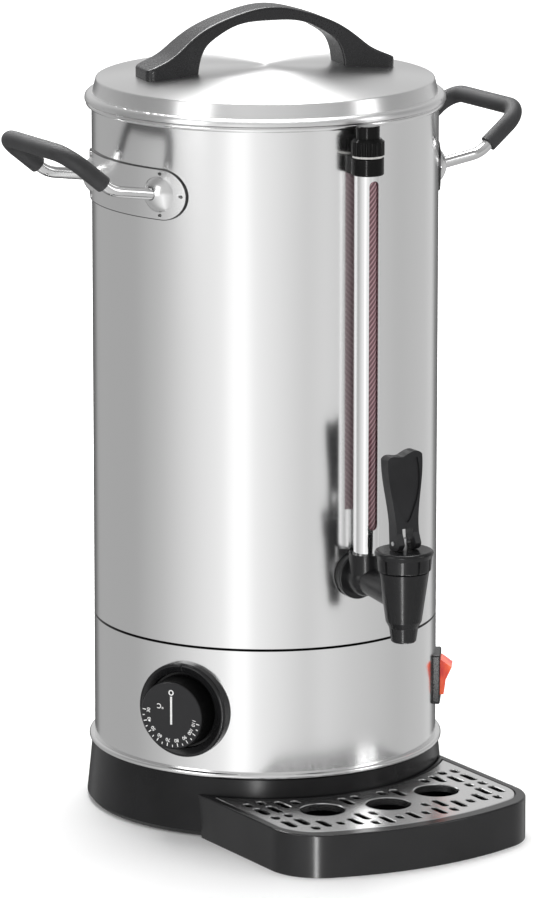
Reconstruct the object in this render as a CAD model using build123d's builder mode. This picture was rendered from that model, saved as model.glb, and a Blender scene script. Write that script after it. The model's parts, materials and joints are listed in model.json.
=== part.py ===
from build123d import *
import os
from math import cos, radians, sin, sqrt, tan

# A free-standing hot water urn of about 16 litres: a stainless tank on a stainless lower
# housing and a black base, with a lift-off lid, two side handles, a sight gauge, a lever tap,
# a thermostat knob, a rocker switch and a loose drip tray with a grille.
# Millimetres, +Z up. The origin is on the urn's axis at the level of its feet, the tap points
# to -Y and the side handles to -X and +X. A bearing is in degrees from the front toward +X.

os.makedirs("parts", exist_ok=True)

# ---------------------------------------------------------------- driving dimensions
sheet = 1.0                      # stainless sheet of the tank, lower housing and lid
body_radius = 120.0              # outside of the tank and of the lower housing
lower_housing_height = 91.0
tank_height = 362.8
bead_radius = 1.95               # rolled beads at the lower housing's foot and the tank's mouth
seam_groove = 0.7
tank_floor_rise = 13.6           # tank floor above the seam
tank_floor_thickness = 1.2
collar_depth = 8.0               # tank floor's collar inside the lower housing
collar_clearance = 0.2

# base
rim_lift = 1.0                   # the base's rim stands this far above the floor
base_height = 42.4
base_flare = 6.0                 # base's foot beyond the wall above it
base_overhang = 1.8
base_wall = 3.0
base_edge = 3.0
base_foot_width = 9.0
base_foot_height = 6.0
base_lip_width = 16.0
base_lip_thickness = 2.5
spigot_height = 9.0
spigot_wall = 2.2
plate_thickness = 1.2
plate_clearance = 0.5
foot_radius = 9.0
foot_inset = 30.0                # feet from the base's edge
foot_stem_radius = 3.0
foot_head_radius = 4.4
foot_bearings = (45, 135, 225, 315)
rod_bearings = (0, 120, 240)
rod_inset = 28.0                 # tie rods from the wall
rod_radius = 2.5
nut_across = 8.0
nut_height = 4.0
hole_clearance = 0.2
foot_head_height = 2.2
rod_end = 0.5                    # tie rod's end below its nut
vent_length = 26.0
vent_width = 3.0
vent_count = 7
vent_pitch = 8.0
wall_cut = 40.0                  # openings in the wall are cut from this far inside it

# lid and its handle
gap_to_lid = 0.3
lid_overhang = 4.8               # lid's rim beyond the tank's wall
lid_rim_height = 4.8
lid_rim_width = 2.0
lid_step_run = 2.4
lid_top_inset = 3.0
lid_step_height = 9.9
lid_dome = 8.2
lid_plug_clearance = 0.7
lid_plug_depth = 10.0
lid_shoulder = 3.5
lid_edge_round = 1.2
handle_turn = -10.7              # lid handle's direction from +X
handle_inset = 26.0              # lid handle's ends from the edge of the lid's dome
handle_rise = 41.6               # top of the arch above the lid's crown
handle_arch_thickness = 9.6
handle_width = 23.0
handle_foot_width = 31.0
handle_screw_inset = 25.0        # from the handle's end
handle_screw_radius = 2.0
handle_screw_length = 9.0
handle_head_radius = 4.0
handle_head_height = 2.2
handle_foot_length = 37.5
handle_foot_corner = 6.0
handle_tip_rise = 1.8            # top of the foot's tip above the lid's crown
handle_round = 1.8
handle_inner_round = 1.4

# side handles
leg_spread = 22.0                # degrees between a handle's middle and each leg
handle_foot_drop = 50.2          # side handles' feet below the mouth
handle_rod_radius = 4.0
leg_run = 35.0                   # straight leg out from the wall
leg_slope = 8.5
crossbar_reach = 62.5
crossbar_rise = 33.0
leg_bend_radius = 24.0
corner_bend_radius = 16.0
grip_radius = 6.0
grip_start = 0.20                # share of the inclined part that stays bare
bracket_thickness = 1.5
bracket_height = 35.0
bracket_half_angle = 33.2
boss_radius = 13.0
boss_height = 7.5
boss_edge = 0.5                  # rim of a boss above the wall
boss_sink = 2.0
boss_clearance = 0.4
weld_radius = 1.3
weld_height = 0.5
weld_places = ((0, 14.8), (-7.6, 0), (7.6, 0), (0, -14.8))   # degrees beside and rise over a boss

# sight gauge
gauge_gap = 12.6                 # gauge axis from the wall
shield_radius = 9.0
shield_wall = 0.8
slot_width = 7.3
slot_above_tap = 35.0
slot_below_mouth = 37.0
glass_radius = 7.4
glass_wall = 1.8
glass_clearance = 0.1
gauge_bracket_drop = 33.6
gauge_bracket_height = 11.9
gauge_bracket_radius = 11.2
gauge_arm_width = 16.0
stud_radius = 3.0
stud_length = 9.0
gauge_nut_across = 10.0
gauge_nut_height = 4.0
gauge_seal_height = 1.6
gauge_seal_radius = 10.3
cap_radius = 11.5
cap_height = 11.3
cap_flutes = 20
plug_radius = 8.2
plug_height = 8.6

# tap
tap_above_seam = 49.6            # shank above the seam
tap_reach = 47.9                 # cup axis from the gauge axis
shank_radius = 8.0
shank_bore = 4.5
shank_length = 20.0
tap_flange_radius = 16.4
tap_flange_thickness = 4.0
flange_seal_thickness = 1.5
tap_nut_across = 22.0
tap_nut_height = 6.0
hub_radius = 12.6
socket_radius = 12.0
socket_height = 18.0
socket_seat_depth = 3.0
arm_radius = 9.9
arm_bore = 4.2
arm_start = 3.0                  # the arm's cylinder starts this far past the hub's centre
flange_round = 1.2
arm_drop = 5.0
cup_rise = 15.8
cup_top_radius = 17.2
cup_groove = 1.1
cup_drop = 19.7
cup_bottom_radius = 12.3
spout_top_drop = 24.1
spout_top_radius = 10.0
spout_drop = 34.2
spout_bottom_radius = 8.6
spout_bore = 6.0
chamber_radius = 9.4
chamber_drop = 13.0
bonnet_height = 14.0
bonnet_lip = 1.2                 # bonnet's lower edge beyond the cup
bonnet_top_lip = 2.9
bonnet_top_thickness = 3.6
bonnet_band = 9.0
bonnet_notches = 10
notch_width = 1.8
notch_depth = 1.0
bonnet_skirt = 4.0
stem_radius = 2.4
stem_clearance = 0.08
seat_radius = 8.0
seat_height = 5.0
body_clearance = 0.3             # between pieces of different bodies
spring_wire = 0.8
spring_radius = 5.0
spring_turns = 4
pin_rise = 5.0                   # lever pin above the bonnet
pin_radius = 1.5
pin_clearance = 0.05
lever_swing = 75.0               # degrees
valve_lift = 3.0                 # stem lift over the whole swing
lever_height = 62.5              # lever's top above its pin
lever_lean = 6.0                 # lever's top stands this much nearer to the tank
lever_top_width = 27.4
lever_leg_width = 17.6
lever_depth = 9.0
lever_fork_height = 10.5
lever_fork_gap = 8.6
thumb_depth = 1.2
thumb_border = 2.6

# thermostat and its knob
knob_bearing = -58.7
knob_rise = 46.2                 # above the base
bezel_radius = 33.2
bezel_face = 5.4                 # bezel's front above the housing
bezel_well_radius = 26.2
bezel_floor = 1.3
knob_radius = 24.0
knob_depth = 14.5
knob_draft = 0.8
knob_wall = 2.2
shaft_radius = 3.0
shaft_flat = 0.8
bush_radius = 5.0
thermostat_width = 34.0
thermostat_height = 32.0
thermostat_depth = 30.0
thermostat_plate_width = 44.0
thermostat_plate_thickness = 1.5
thermostat_screw_spread = 28.0
thermostat_screw_radius = 2.0
thermostat_screw_length = 5.0    # behind the plate
tab_width = 6.3                  # flat terminal tabs
tab_thickness = 0.8
tab_length = 9.0
tab_spread_x = 16.0
tab_spread_y = 12.0

# rocker switch
switch_bearing = 54.7
switch_rise = 44.4
switch_frame_height = 35.4
switch_frame_width = 27.4
switch_frame_proud = 3.6
switch_body_height = 30.0
switch_body_width = 22.0
switch_body_depth = 20.0
switch_tab_spread = 9.0
rocker_radius = 13.4
rocker_width = 18.0
rocker_crown = 4.6
rocker_tip = 10.1                # half the length of the rocker's face
rocker_facet = 9.0               # degrees of each facet from the rocker's own plane
rocker_tilt = 16.0               # degrees of tilt each way
rocker_clearance = 0.3
rocker_pin_radius = 1.2

# heating
spreader_inset = 36.0
spreader_thickness = 4.0
element_inset = 22.0             # from the spreader's edge
element_radius = 4.0
element_sink = 0.8
element_gap = 40.0               # degrees left open between the element's ends
element_leg = 14.0
cutout_radius = 8.5
cutout_height = 8.0
cutout_flange_radius = 12.0
cutout_flange_thickness = 1.0
bulb_radius = 3.0
bulb_length = 60.0
bulb_y = 22.0
capillary_radius = 0.9
capillary_run = 13.0
capillary_bend = 6.0
terminal_length = 46.0
terminal_width = 18.0
terminal_height = 16.0
terminal_inset = 54.0            # from the wall

# cable gland at the back
gland_rise = 29.6
gland_bore = 3.7
gland_flange_radius = 11.0
gland_flange_thickness = 3.0
gland_nose_radius = 8.0
gland_nose_length = 13.0
gland_shank_radius = 7.4
gland_shank_length = 9.0
gland_nut_across = 19.0
gland_nut_height = 4.0

# drip tray and grille
tray_height = 30.0
tray_inset = 27.0                # sides inside the base's foot
tray_reach = 94.0                # front edge beyond the base's foot
tray_corner = 38.0
tray_wall = 2.4
tray_floor = 2.4
tray_side_border = 5.2
tray_front_border = 8.7
tray_rear_border = 3.0
tray_ledge = 2.6
tray_to_base = 0.4
tray_edge = 1.2
tray_horn = 1.5                  # rounding of the two rear points
pan_rear_corner = 3.0
grille_thickness = 1.6
grille_clearance = 0.3
grille_bevel = 1.0
grille_corner = 30.0
grille_rear_corner = 10.0
glass_hole_radius = 15.5
glass_hole_reach = 32.0          # side holes' circle beyond the base's foot
glass_hole_front = 4.0           # the middle hole stands this much further out
glass_hole_turn = 17.0           # degrees
hole_flange_depth = 3.4          # rims of the glass holes turned down
hole_flange_wall = 1.0
slot_bevel = 0.5
grille_slot_width = 5.2
slot_long = 18.0
slot_short = 9.0
slot_gap = 4.2
column_pitch = 10.5
grille_margin = 4.4

# ---------------------------------------------------------------- derived levels and radii
seam_level = base_height + lower_housing_height
mouth_level = seam_level + tank_height
body_inside = body_radius - sheet
bead_outside = body_radius + 2 * bead_radius
base_top_radius = body_radius + base_overhang
base_bottom_radius = body_radius + base_flare
foot_circle = base_bottom_radius - foot_inset
rod_circle = body_radius - rod_inset
tank_floor_bottom = seam_level + tank_floor_rise - tank_floor_thickness
tank_floor_top = seam_level + tank_floor_rise
plate_level = rim_lift + base_foot_height

lid_radius = body_radius + lid_overhang
lid_top_radius = body_radius - lid_top_inset
lid_step_radius = lid_top_radius + lid_step_run
lid_plug_radius = body_inside - lid_plug_clearance
lid_level = mouth_level + gap_to_lid
lid_flange_level = lid_level + lid_rim_height
lid_edge_level = lid_flange_level + lid_step_height
lid_crown = lid_edge_level + lid_dome
handle_top = lid_crown + handle_rise
handle_tip_level = lid_crown + handle_tip_rise
handle_half_length = lid_top_radius - handle_inset
handle_arch_foot = handle_half_length - handle_foot_length
handle_screw_offset = handle_half_length - handle_screw_inset

handle_foot_level = mouth_level - handle_foot_drop
crossbar_offset = body_radius + crossbar_reach
crossbar_level = handle_foot_level + crossbar_rise

gauge_offset = body_radius + gauge_gap
tap_offset = gauge_offset + tap_reach
tap_height = seam_level + tap_above_seam
slot_bottom = tap_height + slot_above_tap
slot_top = mouth_level - slot_below_mouth
gauge_bracket_bottom = mouth_level - gauge_bracket_drop
socket_top = tap_height + socket_height
cup_top = tap_height + cup_rise
cup_bottom = tap_height - cup_drop
spout_top = tap_height - spout_top_drop
spout_bottom = tap_height - spout_drop
chamber_floor = tap_height - chamber_drop
bonnet_bottom_radius = cup_top_radius + bonnet_lip
bonnet_top_radius = cup_top_radius + bonnet_top_lip
bonnet_top = cup_top + bonnet_height
pin_level = bonnet_top + pin_rise

knob_height = base_height + knob_rise
switch_height = base_height + switch_rise
gland_height = base_height + gland_rise
spreader_radius = body_radius - spreader_inset
element_ring_radius = spreader_radius - element_inset
terminal_y = body_radius - terminal_inset
tray_front_radius = base_bottom_radius + tray_reach
tray_half_width = base_bottom_radius - tray_inset


def outward_plane(bearing, distance, height):
    """Upright plane that faces away from the urn's axis."""
    angle = radians(bearing)
    origin = (distance * sin(angle), -distance * cos(angle), height)
    return Plane(origin=origin, x_dir=(cos(angle), sin(angle), 0), z_dir=(sin(angle), -cos(angle), 0))


def section_plane(bearing, distance=0.0, height=0.0):
    """Upright plane through the urn's axis: local x points outward, local y up."""
    angle = radians(bearing)
    origin = (distance * sin(angle), -distance * cos(angle), height)
    return Plane(origin=origin, x_dir=(sin(angle), -cos(angle), 0), z_dir=(-cos(angle), -sin(angle), 0))


def polar_point(bearing, distance):
    """Plan position at a bearing and a distance from the urn's axis."""
    angle = radians(bearing)
    return (distance * sin(angle), -distance * cos(angle))


def save(piece, name):
    """Label a finished piece and write its STEP file."""
    piece.part.label = name
    export_step(piece.part, f"parts/{name}.step")


# ---------------------------------------------------------------- base
base_inside_top = base_top_radius - base_wall
base_inside_bottom = base_bottom_radius - base_wall
spigot_outside = body_inside - collar_clearance
spigot_inside = spigot_outside - spigot_wall
foot_inside = base_bottom_radius - base_foot_width
lip_inside = base_bottom_radius - base_lip_width
lip_top = plate_level + base_lip_thickness

with BuildPart() as base_ring:
    with BuildSketch(Plane.XZ):
        with BuildLine():
            Polyline(
                (foot_inside, rim_lift),
                (base_bottom_radius - base_edge, rim_lift),
                (base_bottom_radius - base_edge / 8, rim_lift + base_edge),
                (base_top_radius, base_height - seam_groove),
                (base_top_radius - seam_groove, base_height),
                (spigot_outside, base_height),
                (spigot_outside, base_height + spigot_height),
                (spigot_inside, base_height + spigot_height),
                (spigot_inside, base_height - base_wall),
                (base_inside_top, base_height - base_wall),
                (base_inside_bottom - base_wall / 2, lip_top),
                (lip_inside, lip_top),
                (lip_inside, plate_level),
                (foot_inside, plate_level),
                close=True,
            )
        make_face()
    revolve(axis=Axis.Z)
save(base_ring, "base_ring")

plate_radius = foot_inside - plate_clearance
with BuildPart() as base_plate:
    with BuildSketch(Plane.XY.offset(plate_level)):
        Circle(plate_radius)
        with Locations(*[polar_point(bearing, foot_circle) for bearing in foot_bearings]):
            Circle(foot_stem_radius + hole_clearance, mode=Mode.SUBTRACT)
        with Locations(*[polar_point(bearing, rod_circle) for bearing in rod_bearings]):
            Circle(rod_radius + hole_clearance, mode=Mode.SUBTRACT)
        with GridLocations(vent_pitch, 1, vent_count, 1):
            SlotOverall(vent_length, vent_width, rotation=90, mode=Mode.SUBTRACT)
    extrude(amount=-plate_thickness)
save(base_plate, "base_plate")

plate_underside = plate_level - plate_thickness
with BuildPart() as base_feet:
    for bearing in foot_bearings:
        foot_x, foot_y = polar_point(bearing, foot_circle)
        with BuildSketch(Plane(origin=(foot_x, foot_y, 0), x_dir=(1, 0, 0), z_dir=(0, -1, 0))):
            with BuildLine():
                Polyline(
                    (0, 0),
                    (foot_radius - 1, 0),
                    (foot_radius, 1),
                    (foot_radius, plate_underside),
                    (foot_stem_radius, plate_underside),
                    (foot_stem_radius, plate_level),
                    (foot_head_radius, plate_level),
                    (foot_stem_radius - 0.5, plate_level + foot_head_height),
                    (0, plate_level + foot_head_height),
                    close=True,
                )
            make_face()
        revolve(axis=Axis((foot_x, foot_y, 0), (0, 0, 1)))
save(base_feet, "base_feet")

rod_bottom = plate_underside - nut_height - rod_end
with BuildPart() as tie_rods:
    with BuildSketch(Plane.XY.offset(rod_bottom)):
        with Locations(*[polar_point(bearing, rod_circle) for bearing in rod_bearings]):
            Circle(rod_radius)
    extrude(amount=tank_floor_bottom - rod_bottom)
save(tie_rods, "tie_rods")

with BuildPart() as tie_rod_nuts:
    with BuildSketch(Plane.XY.offset(plate_underside)):
        with Locations(*[polar_point(bearing, rod_circle) for bearing in rod_bearings]):
            RegularPolygon(nut_across / 2, 6, major_radius=False)
            Circle(rod_radius, mode=Mode.SUBTRACT)
    extrude(amount=-nut_height)
save(tie_rod_nuts, "tie_rod_nuts")

# ---------------------------------------------------------------- lower housing
knob_plane = outward_plane(knob_bearing, body_radius, knob_height)
switch_plane = outward_plane(switch_bearing, body_radius, switch_height)
gland_plane = outward_plane(180, body_radius, gland_height)

with BuildPart() as lower_housing:
    with BuildSketch(Plane.XZ):
        with BuildLine():
            bead_low = (body_radius, base_height)
            bead_high = (body_radius, base_height + 2 * bead_radius)
            bead_out = (bead_outside, base_height + bead_radius)
            Polyline(bead_low, (body_inside, base_height), (body_inside, seam_level))
            Line((body_inside, seam_level), (body_radius - seam_groove, seam_level))
            Polyline(
                (body_radius - seam_groove, seam_level),
                (body_radius, seam_level - seam_groove),
                bead_high,
                (body_radius + bead_radius, base_height + 2 * bead_radius),
            )
            ThreePointArc(
                (body_radius + bead_radius, base_height + 2 * bead_radius),
                bead_out,
                (body_radius + bead_radius, base_height),
            )
            Line((body_radius + bead_radius, base_height), bead_low)
        make_face()
    revolve(axis=Axis.Z)
    with BuildSketch(knob_plane.offset(-wall_cut)):
        Circle(bush_radius + hole_clearance)
        with GridLocations(thermostat_screw_spread, 1, 2, 1):
            Circle(thermostat_screw_radius + hole_clearance)
    extrude(amount=2 * wall_cut, mode=Mode.SUBTRACT)
    with BuildSketch(switch_plane.offset(-wall_cut)):
        Rectangle(switch_body_width + hole_clearance, switch_body_height + hole_clearance)
    extrude(amount=2 * wall_cut, mode=Mode.SUBTRACT)
    with BuildSketch(gland_plane.offset(-wall_cut)):
        Circle(gland_shank_radius + hole_clearance)
    extrude(amount=2 * wall_cut, mode=Mode.SUBTRACT)
save(lower_housing, "lower_housing")

# ---------------------------------------------------------------- tank
collar_outside = body_inside - collar_clearance
collar_inside = collar_outside - sheet
tap_plane = outward_plane(0, 0, tap_height)
stud_level = gauge_bracket_bottom + gauge_bracket_height / 2
stud_plane = outward_plane(0, 0, stud_level)

with BuildPart() as tank:
    with BuildSketch(Plane.XZ):
        with BuildLine():
            Polyline(
                (body_radius + bead_radius, mouth_level),
                (body_inside, mouth_level),
                (body_inside, seam_level),
                (body_radius - seam_groove, seam_level),
                (body_radius, seam_level + seam_groove),
                (body_radius, mouth_level - 2 * bead_radius),
                (body_radius + bead_radius, mouth_level - 2 * bead_radius),
            )
            ThreePointArc(
                (body_radius + bead_radius, mouth_level - 2 * bead_radius),
                (bead_outside, mouth_level - bead_radius),
                (body_radius + bead_radius, mouth_level),
            )
        make_face()
    revolve(axis=Axis.Z)
    with BuildSketch(tap_plane):
        Circle(shank_radius + hole_clearance)
    extrude(amount=body_radius + sheet, mode=Mode.SUBTRACT)
    with BuildSketch(stud_plane):
        Circle(stud_radius + hole_clearance)
    extrude(amount=body_radius + sheet, mode=Mode.SUBTRACT)
save(tank, "tank")

with BuildPart() as tank_floor:
    with BuildSketch(Plane.XZ):
        with BuildLine():
            Polyline(
                (0, tank_floor_bottom),
                (collar_inside, tank_floor_bottom),
                (collar_inside, seam_level - collar_depth),
                (collar_outside, seam_level - collar_depth),
                (collar_outside, seam_level),
                (body_inside, seam_level),
                (body_inside, tank_floor_top),
                (0, tank_floor_top),
                close=True,
            )
        make_face()
    revolve(axis=Axis.Z)
save(tank_floor, "tank_floor")

# ---------------------------------------------------------------- heating under the tank
ring_level = tank_floor_bottom - spreader_thickness - element_radius + element_sink
ring_start = 90 + element_gap / 2
ring_arc = 360 - element_gap
ring_path = CenterArc((0, 0, ring_level), element_ring_radius, ring_start, ring_arc)
bulb_level = tank_floor_bottom - spreader_thickness - bulb_radius + element_sink

with BuildPart() as heating_element:
    with BuildLine():
        add(ring_path)
    with BuildSketch(Plane(origin=ring_path @ 0, z_dir=ring_path % 0)):
        Circle(element_radius)
    sweep()
    with BuildSketch(Plane.XY.offset(ring_level - element_leg)):
        with Locations(*[((ring_path @ end).X, (ring_path @ end).Y) for end in (0, 1)]):
            Circle(element_radius)
    extrude(amount=element_leg)
save(heating_element, "heating_element")

with BuildPart() as heat_spreader:
    with BuildSketch(Plane.XY.offset(tank_floor_bottom)):
        Circle(spreader_radius)
    extrude(amount=-spreader_thickness)
    add(heating_element.part, mode=Mode.SUBTRACT)
    with BuildSketch(Plane.YZ.offset(-bulb_length / 2)):
        with Locations((bulb_y, bulb_level)):
            Circle(bulb_radius)
    extrude(amount=bulb_length, mode=Mode.SUBTRACT)
save(heat_spreader, "heat_spreader")

cutout_top = tank_floor_bottom - spreader_thickness
with BuildPart() as thermal_cutout:
    with BuildSketch(Plane.XY.offset(cutout_top)):
        with Locations((0, -bulb_y)):
            Circle(cutout_flange_radius)
    extrude(amount=-cutout_flange_thickness)
    with BuildSketch(Plane.XY.offset(cutout_top)):
        with Locations((0, -bulb_y)):
            Circle(cutout_radius)
    extrude(amount=-cutout_height)
    with BuildSketch(Plane.XY.offset(cutout_top - cutout_height)):
        with Locations((0, -bulb_y)):
            with GridLocations(cutout_radius, 1, 2, 1):
                Rectangle(tab_thickness, tab_width)
    extrude(amount=-cutout_height)
save(thermal_cutout, "thermal_cutout")

# ---------------------------------------------------------------- thermostat and knob
plate_seat = sqrt(body_inside**2 - (thermostat_plate_width / 2) ** 2) - 0.1
plate_offset = plate_seat - body_radius
bezel_back = sqrt(body_radius**2 - bezel_radius**2) - body_radius
shaft_start = plate_offset - thermostat_plate_thickness - thermostat_depth / 2
knob_top = bezel_face + knob_depth

with BuildPart() as knob_bezel:
    with BuildSketch(section_plane(knob_bearing, body_radius, knob_height)):
        with BuildLine():
            Polyline(
                (bezel_back, bush_radius + hole_clearance),
                (bezel_floor, bush_radius + hole_clearance),
                (bezel_floor, bezel_well_radius),
                (bezel_face - 1.6, bezel_well_radius + 0.6),
                (bezel_face, bezel_radius - 2.2),
            )
            ThreePointArc(
                (bezel_face, bezel_radius - 2.2),
                (bezel_face - 0.7, bezel_radius - 0.6),
                (bezel_face - 2.2, bezel_radius),
            )
            Polyline(
                (bezel_face - 2.2, bezel_radius),
                (bezel_back, bezel_radius),
                (bezel_back, bush_radius + hole_clearance),
            )
        make_face()
    revolve(axis=Axis(knob_plane.origin, knob_plane.z_dir))
    with BuildSketch(Plane.XY.offset(knob_height - 2 * bezel_radius)):
        Circle(body_radius)
    extrude(amount=4 * bezel_radius, mode=Mode.SUBTRACT)
    with BuildSketch(knob_plane.offset(bezel_face)):
        with Locations((0, (bezel_well_radius + bezel_radius) / 2)):
            Rectangle(0.9, bezel_radius - bezel_well_radius - 1.4)
    extrude(amount=-1.2, mode=Mode.SUBTRACT)
    with BuildSketch(knob_plane.offset(-2)):
        with GridLocations(thermostat_screw_spread, 1, 2, 1):
            Circle(thermostat_screw_radius + hole_clearance)
    extrude(amount=bezel_face, mode=Mode.SUBTRACT)
save(knob_bezel, "knob_bezel")

plate_plane = knob_plane.offset(plate_offset)
with BuildPart() as thermostat_body:
    with BuildSketch(plate_plane):
        RectangleRounded(thermostat_plate_width, thermostat_height - 8, 2)
        with GridLocations(thermostat_screw_spread, 1, 2, 1):
            Circle(thermostat_screw_radius, mode=Mode.SUBTRACT)
    extrude(amount=-thermostat_plate_thickness)
    with BuildSketch(plate_plane.offset(-thermostat_plate_thickness)):
        Rectangle(thermostat_width, thermostat_height)
    extrude(amount=-thermostat_depth)
    with BuildSketch(plate_plane):
        Circle(bush_radius)
    extrude(amount=bezel_floor - plate_offset)
    with BuildSketch(plate_plane.offset(-thermostat_plate_thickness - thermostat_depth)):
        with GridLocations(tab_spread_x, tab_spread_y, 2, 2):
            Rectangle(tab_width, tab_thickness)
    extrude(amount=-tab_length)
    with BuildSketch(knob_plane.offset(shaft_start)):
        Circle(shaft_radius + stem_clearance)
    extrude(amount=bezel_floor - shaft_start, mode=Mode.SUBTRACT)
    with BuildSketch(plate_plane.offset(-thermostat_plate_thickness)):
        with GridLocations(thermostat_screw_spread, 1, 2, 1):
            Circle(thermostat_screw_radius)
    extrude(amount=-thermostat_screw_length - 1, mode=Mode.SUBTRACT)
save(thermostat_body, "thermostat_body")

screw_head_radius = thermostat_screw_radius * 1.9
screw_head_height = 1.6
with BuildPart() as thermostat_screws:
    with BuildSketch(knob_plane.offset(bezel_floor)):
        with GridLocations(thermostat_screw_spread, 1, 2, 1):
            Circle(screw_head_radius)
    extrude(amount=screw_head_height)
    with BuildSketch(knob_plane.offset(bezel_floor)):
        with GridLocations(thermostat_screw_spread, 1, 2, 1):
            Circle(thermostat_screw_radius)
    extrude(amount=plate_offset - thermostat_plate_thickness - thermostat_screw_length - bezel_floor)
save(thermostat_screws, "thermostat_screws")

shaft_tip = knob_top - 4
with BuildPart() as thermostat_shaft:
    with BuildSketch(knob_plane.offset(shaft_start + body_clearance)):
        Circle(shaft_radius)
    extrude(amount=shaft_tip - shaft_start - body_clearance)
    with BuildSketch(knob_plane.offset(shaft_tip)):
        with Locations((0, shaft_radius)):
            Rectangle(2 * shaft_radius, 2 * shaft_flat)
    extrude(amount=-knob_depth / 2, mode=Mode.SUBTRACT)
save(thermostat_shaft, "thermostat_shaft")

knob_base = bezel_floor + screw_head_height + body_clearance
knob_inside = knob_radius + knob_draft - knob_wall
knob_hub_radius = shaft_radius + 3
with BuildPart() as thermostat_knob:
    with BuildSketch(section_plane(knob_bearing, body_radius, knob_height)):
        with BuildLine():
            Polyline(
                (knob_base, knob_inside),
                (knob_base, knob_radius + knob_draft),
                (knob_top - 1.2, knob_radius),
                (knob_top, knob_radius - 1.2),
                (knob_top, 0),
                (bezel_floor + body_clearance, 0),
                (bezel_floor + body_clearance, knob_hub_radius),
                (knob_top - knob_wall, knob_hub_radius),
                (knob_top - knob_wall, knob_inside - knob_draft),
                close=True,
            )
        make_face()
    revolve(axis=Axis(knob_plane.origin, knob_plane.z_dir))
    add(thermostat_shaft.part, mode=Mode.SUBTRACT)
save(thermostat_knob, "thermostat_knob")

body_top_point = Vector(*polar_point(knob_bearing, body_radius + plate_offset - 16)) + Vector(
    0, 0, knob_height + thermostat_height / 2
)
with BuildPart() as thermostat_bulb:
    with BuildSketch(Plane.YZ.offset(-bulb_length / 2)):
        with Locations((bulb_y, bulb_level)):
            Circle(bulb_radius)
    extrude(amount=bulb_length)
    with BuildLine() as capillary_path:
        FilletPolyline(
            (-bulb_length / 2 + capillary_radius, bulb_y, bulb_level),
            (-bulb_length / 2 - capillary_run, bulb_y, bulb_level),
            (-bulb_length / 2 - 2 * capillary_run, bulb_y - capillary_run, bulb_level - capillary_run),
            body_top_point + Vector(0, 0, capillary_run),
            body_top_point,
            radius=capillary_bend,
        )
    with BuildSketch(Plane(origin=capillary_path.line @ 0, z_dir=capillary_path.line % 0)):
        Circle(capillary_radius)
    sweep()
save(thermostat_bulb, "thermostat_bulb")

# ---------------------------------------------------------------- rocker switch
frame_back = sqrt(body_radius**2 - (switch_frame_width / 2) ** 2) - body_radius
pivot_depth = switch_frame_proud - 0.6
rocker_axis_plane = section_plane(switch_bearing, body_radius + pivot_depth, switch_height)
well_depth = 2 * rocker_radius - 6
with BuildPart() as switch_housing:
    with BuildSketch(switch_plane.offset(frame_back)):
        RectangleRounded(switch_frame_width, switch_frame_height, 1.5)
    extrude(amount=switch_frame_proud - frame_back)
    chamfer(switch_housing.faces().sort_by(Axis(switch_plane.origin, switch_plane.z_dir))[-1].edges(), 0.8)
    with BuildSketch(Plane.XY.offset(switch_height - switch_frame_height)):
        Circle(body_radius)
    extrude(amount=2 * switch_frame_height, mode=Mode.SUBTRACT)
    with BuildSketch(switch_plane.offset(switch_frame_proud - 1)):
        Rectangle(switch_body_width, switch_body_height)
    extrude(amount=-switch_body_depth - switch_frame_proud)
    with BuildSketch(switch_plane.offset(switch_frame_proud)):
        Rectangle(rocker_width + 2 * body_clearance, 2 * (rocker_radius + rocker_clearance))
    extrude(amount=-well_depth / 2 - 6, mode=Mode.SUBTRACT)
    with BuildSketch(rocker_axis_plane):
        Circle(rocker_pin_radius + pin_clearance)
    extrude(amount=rocker_width / 2 + 1.5, both=True, mode=Mode.SUBTRACT)
    with BuildSketch(switch_plane.offset(-switch_body_depth - 1)):
        with GridLocations(1, switch_tab_spread, 1, 3):
            Rectangle(tab_width, tab_thickness)
    extrude(amount=-tab_length)
save(switch_housing, "switch_housing")

facet = radians(rocker_facet)
facet_rise = rocker_tip * tan(facet)
tilt = radians(rocker_tilt)
rocker_plane = Plane(
    origin=rocker_axis_plane.origin,
    x_dir=rocker_axis_plane.x_dir * cos(tilt) - Vector(0, 0, sin(tilt)),
    z_dir=rocker_axis_plane.z_dir,
)
with BuildPart() as switch_rocker:
    with BuildSketch(rocker_plane):
        with BuildLine():
            Polyline(
                (rocker_crown + facet_rise, rocker_tip),
                (rocker_crown, 0),
                (rocker_crown + facet_rise, -rocker_tip),
                (-rocker_radius / 5, -rocker_radius),
                (-rocker_radius / 2, -rocker_radius / 2),
                (-rocker_radius / 2, rocker_radius / 2),
                (-rocker_radius / 5, rocker_radius),
                close=True,
            )
        make_face()
        Circle(rocker_radius, mode=Mode.INTERSECT)
    extrude(amount=rocker_width / 2, both=True)
    with BuildSketch(rocker_axis_plane):
        Circle(rocker_pin_radius)
    extrude(amount=rocker_width / 2 + 1.2, both=True)
save(switch_rocker, "switch_rocker")

# ---------------------------------------------------------------- terminals and cable gland
with BuildPart() as terminal_block:
    with BuildSketch(Plane.XY.offset(plate_level)):
        with Locations((0, terminal_y)):
            RectangleRounded(terminal_length, terminal_width, 2)
    extrude(amount=terminal_height * 0.6)
    with BuildSketch(Plane.XY.offset(plate_level)):
        with Locations((0, terminal_y)):
            with GridLocations(terminal_length / 4, 1, 3, 1):
                Rectangle(terminal_length / 6, terminal_width * 0.7)
    extrude(amount=terminal_height)
save(terminal_block, "terminal_block")

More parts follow.
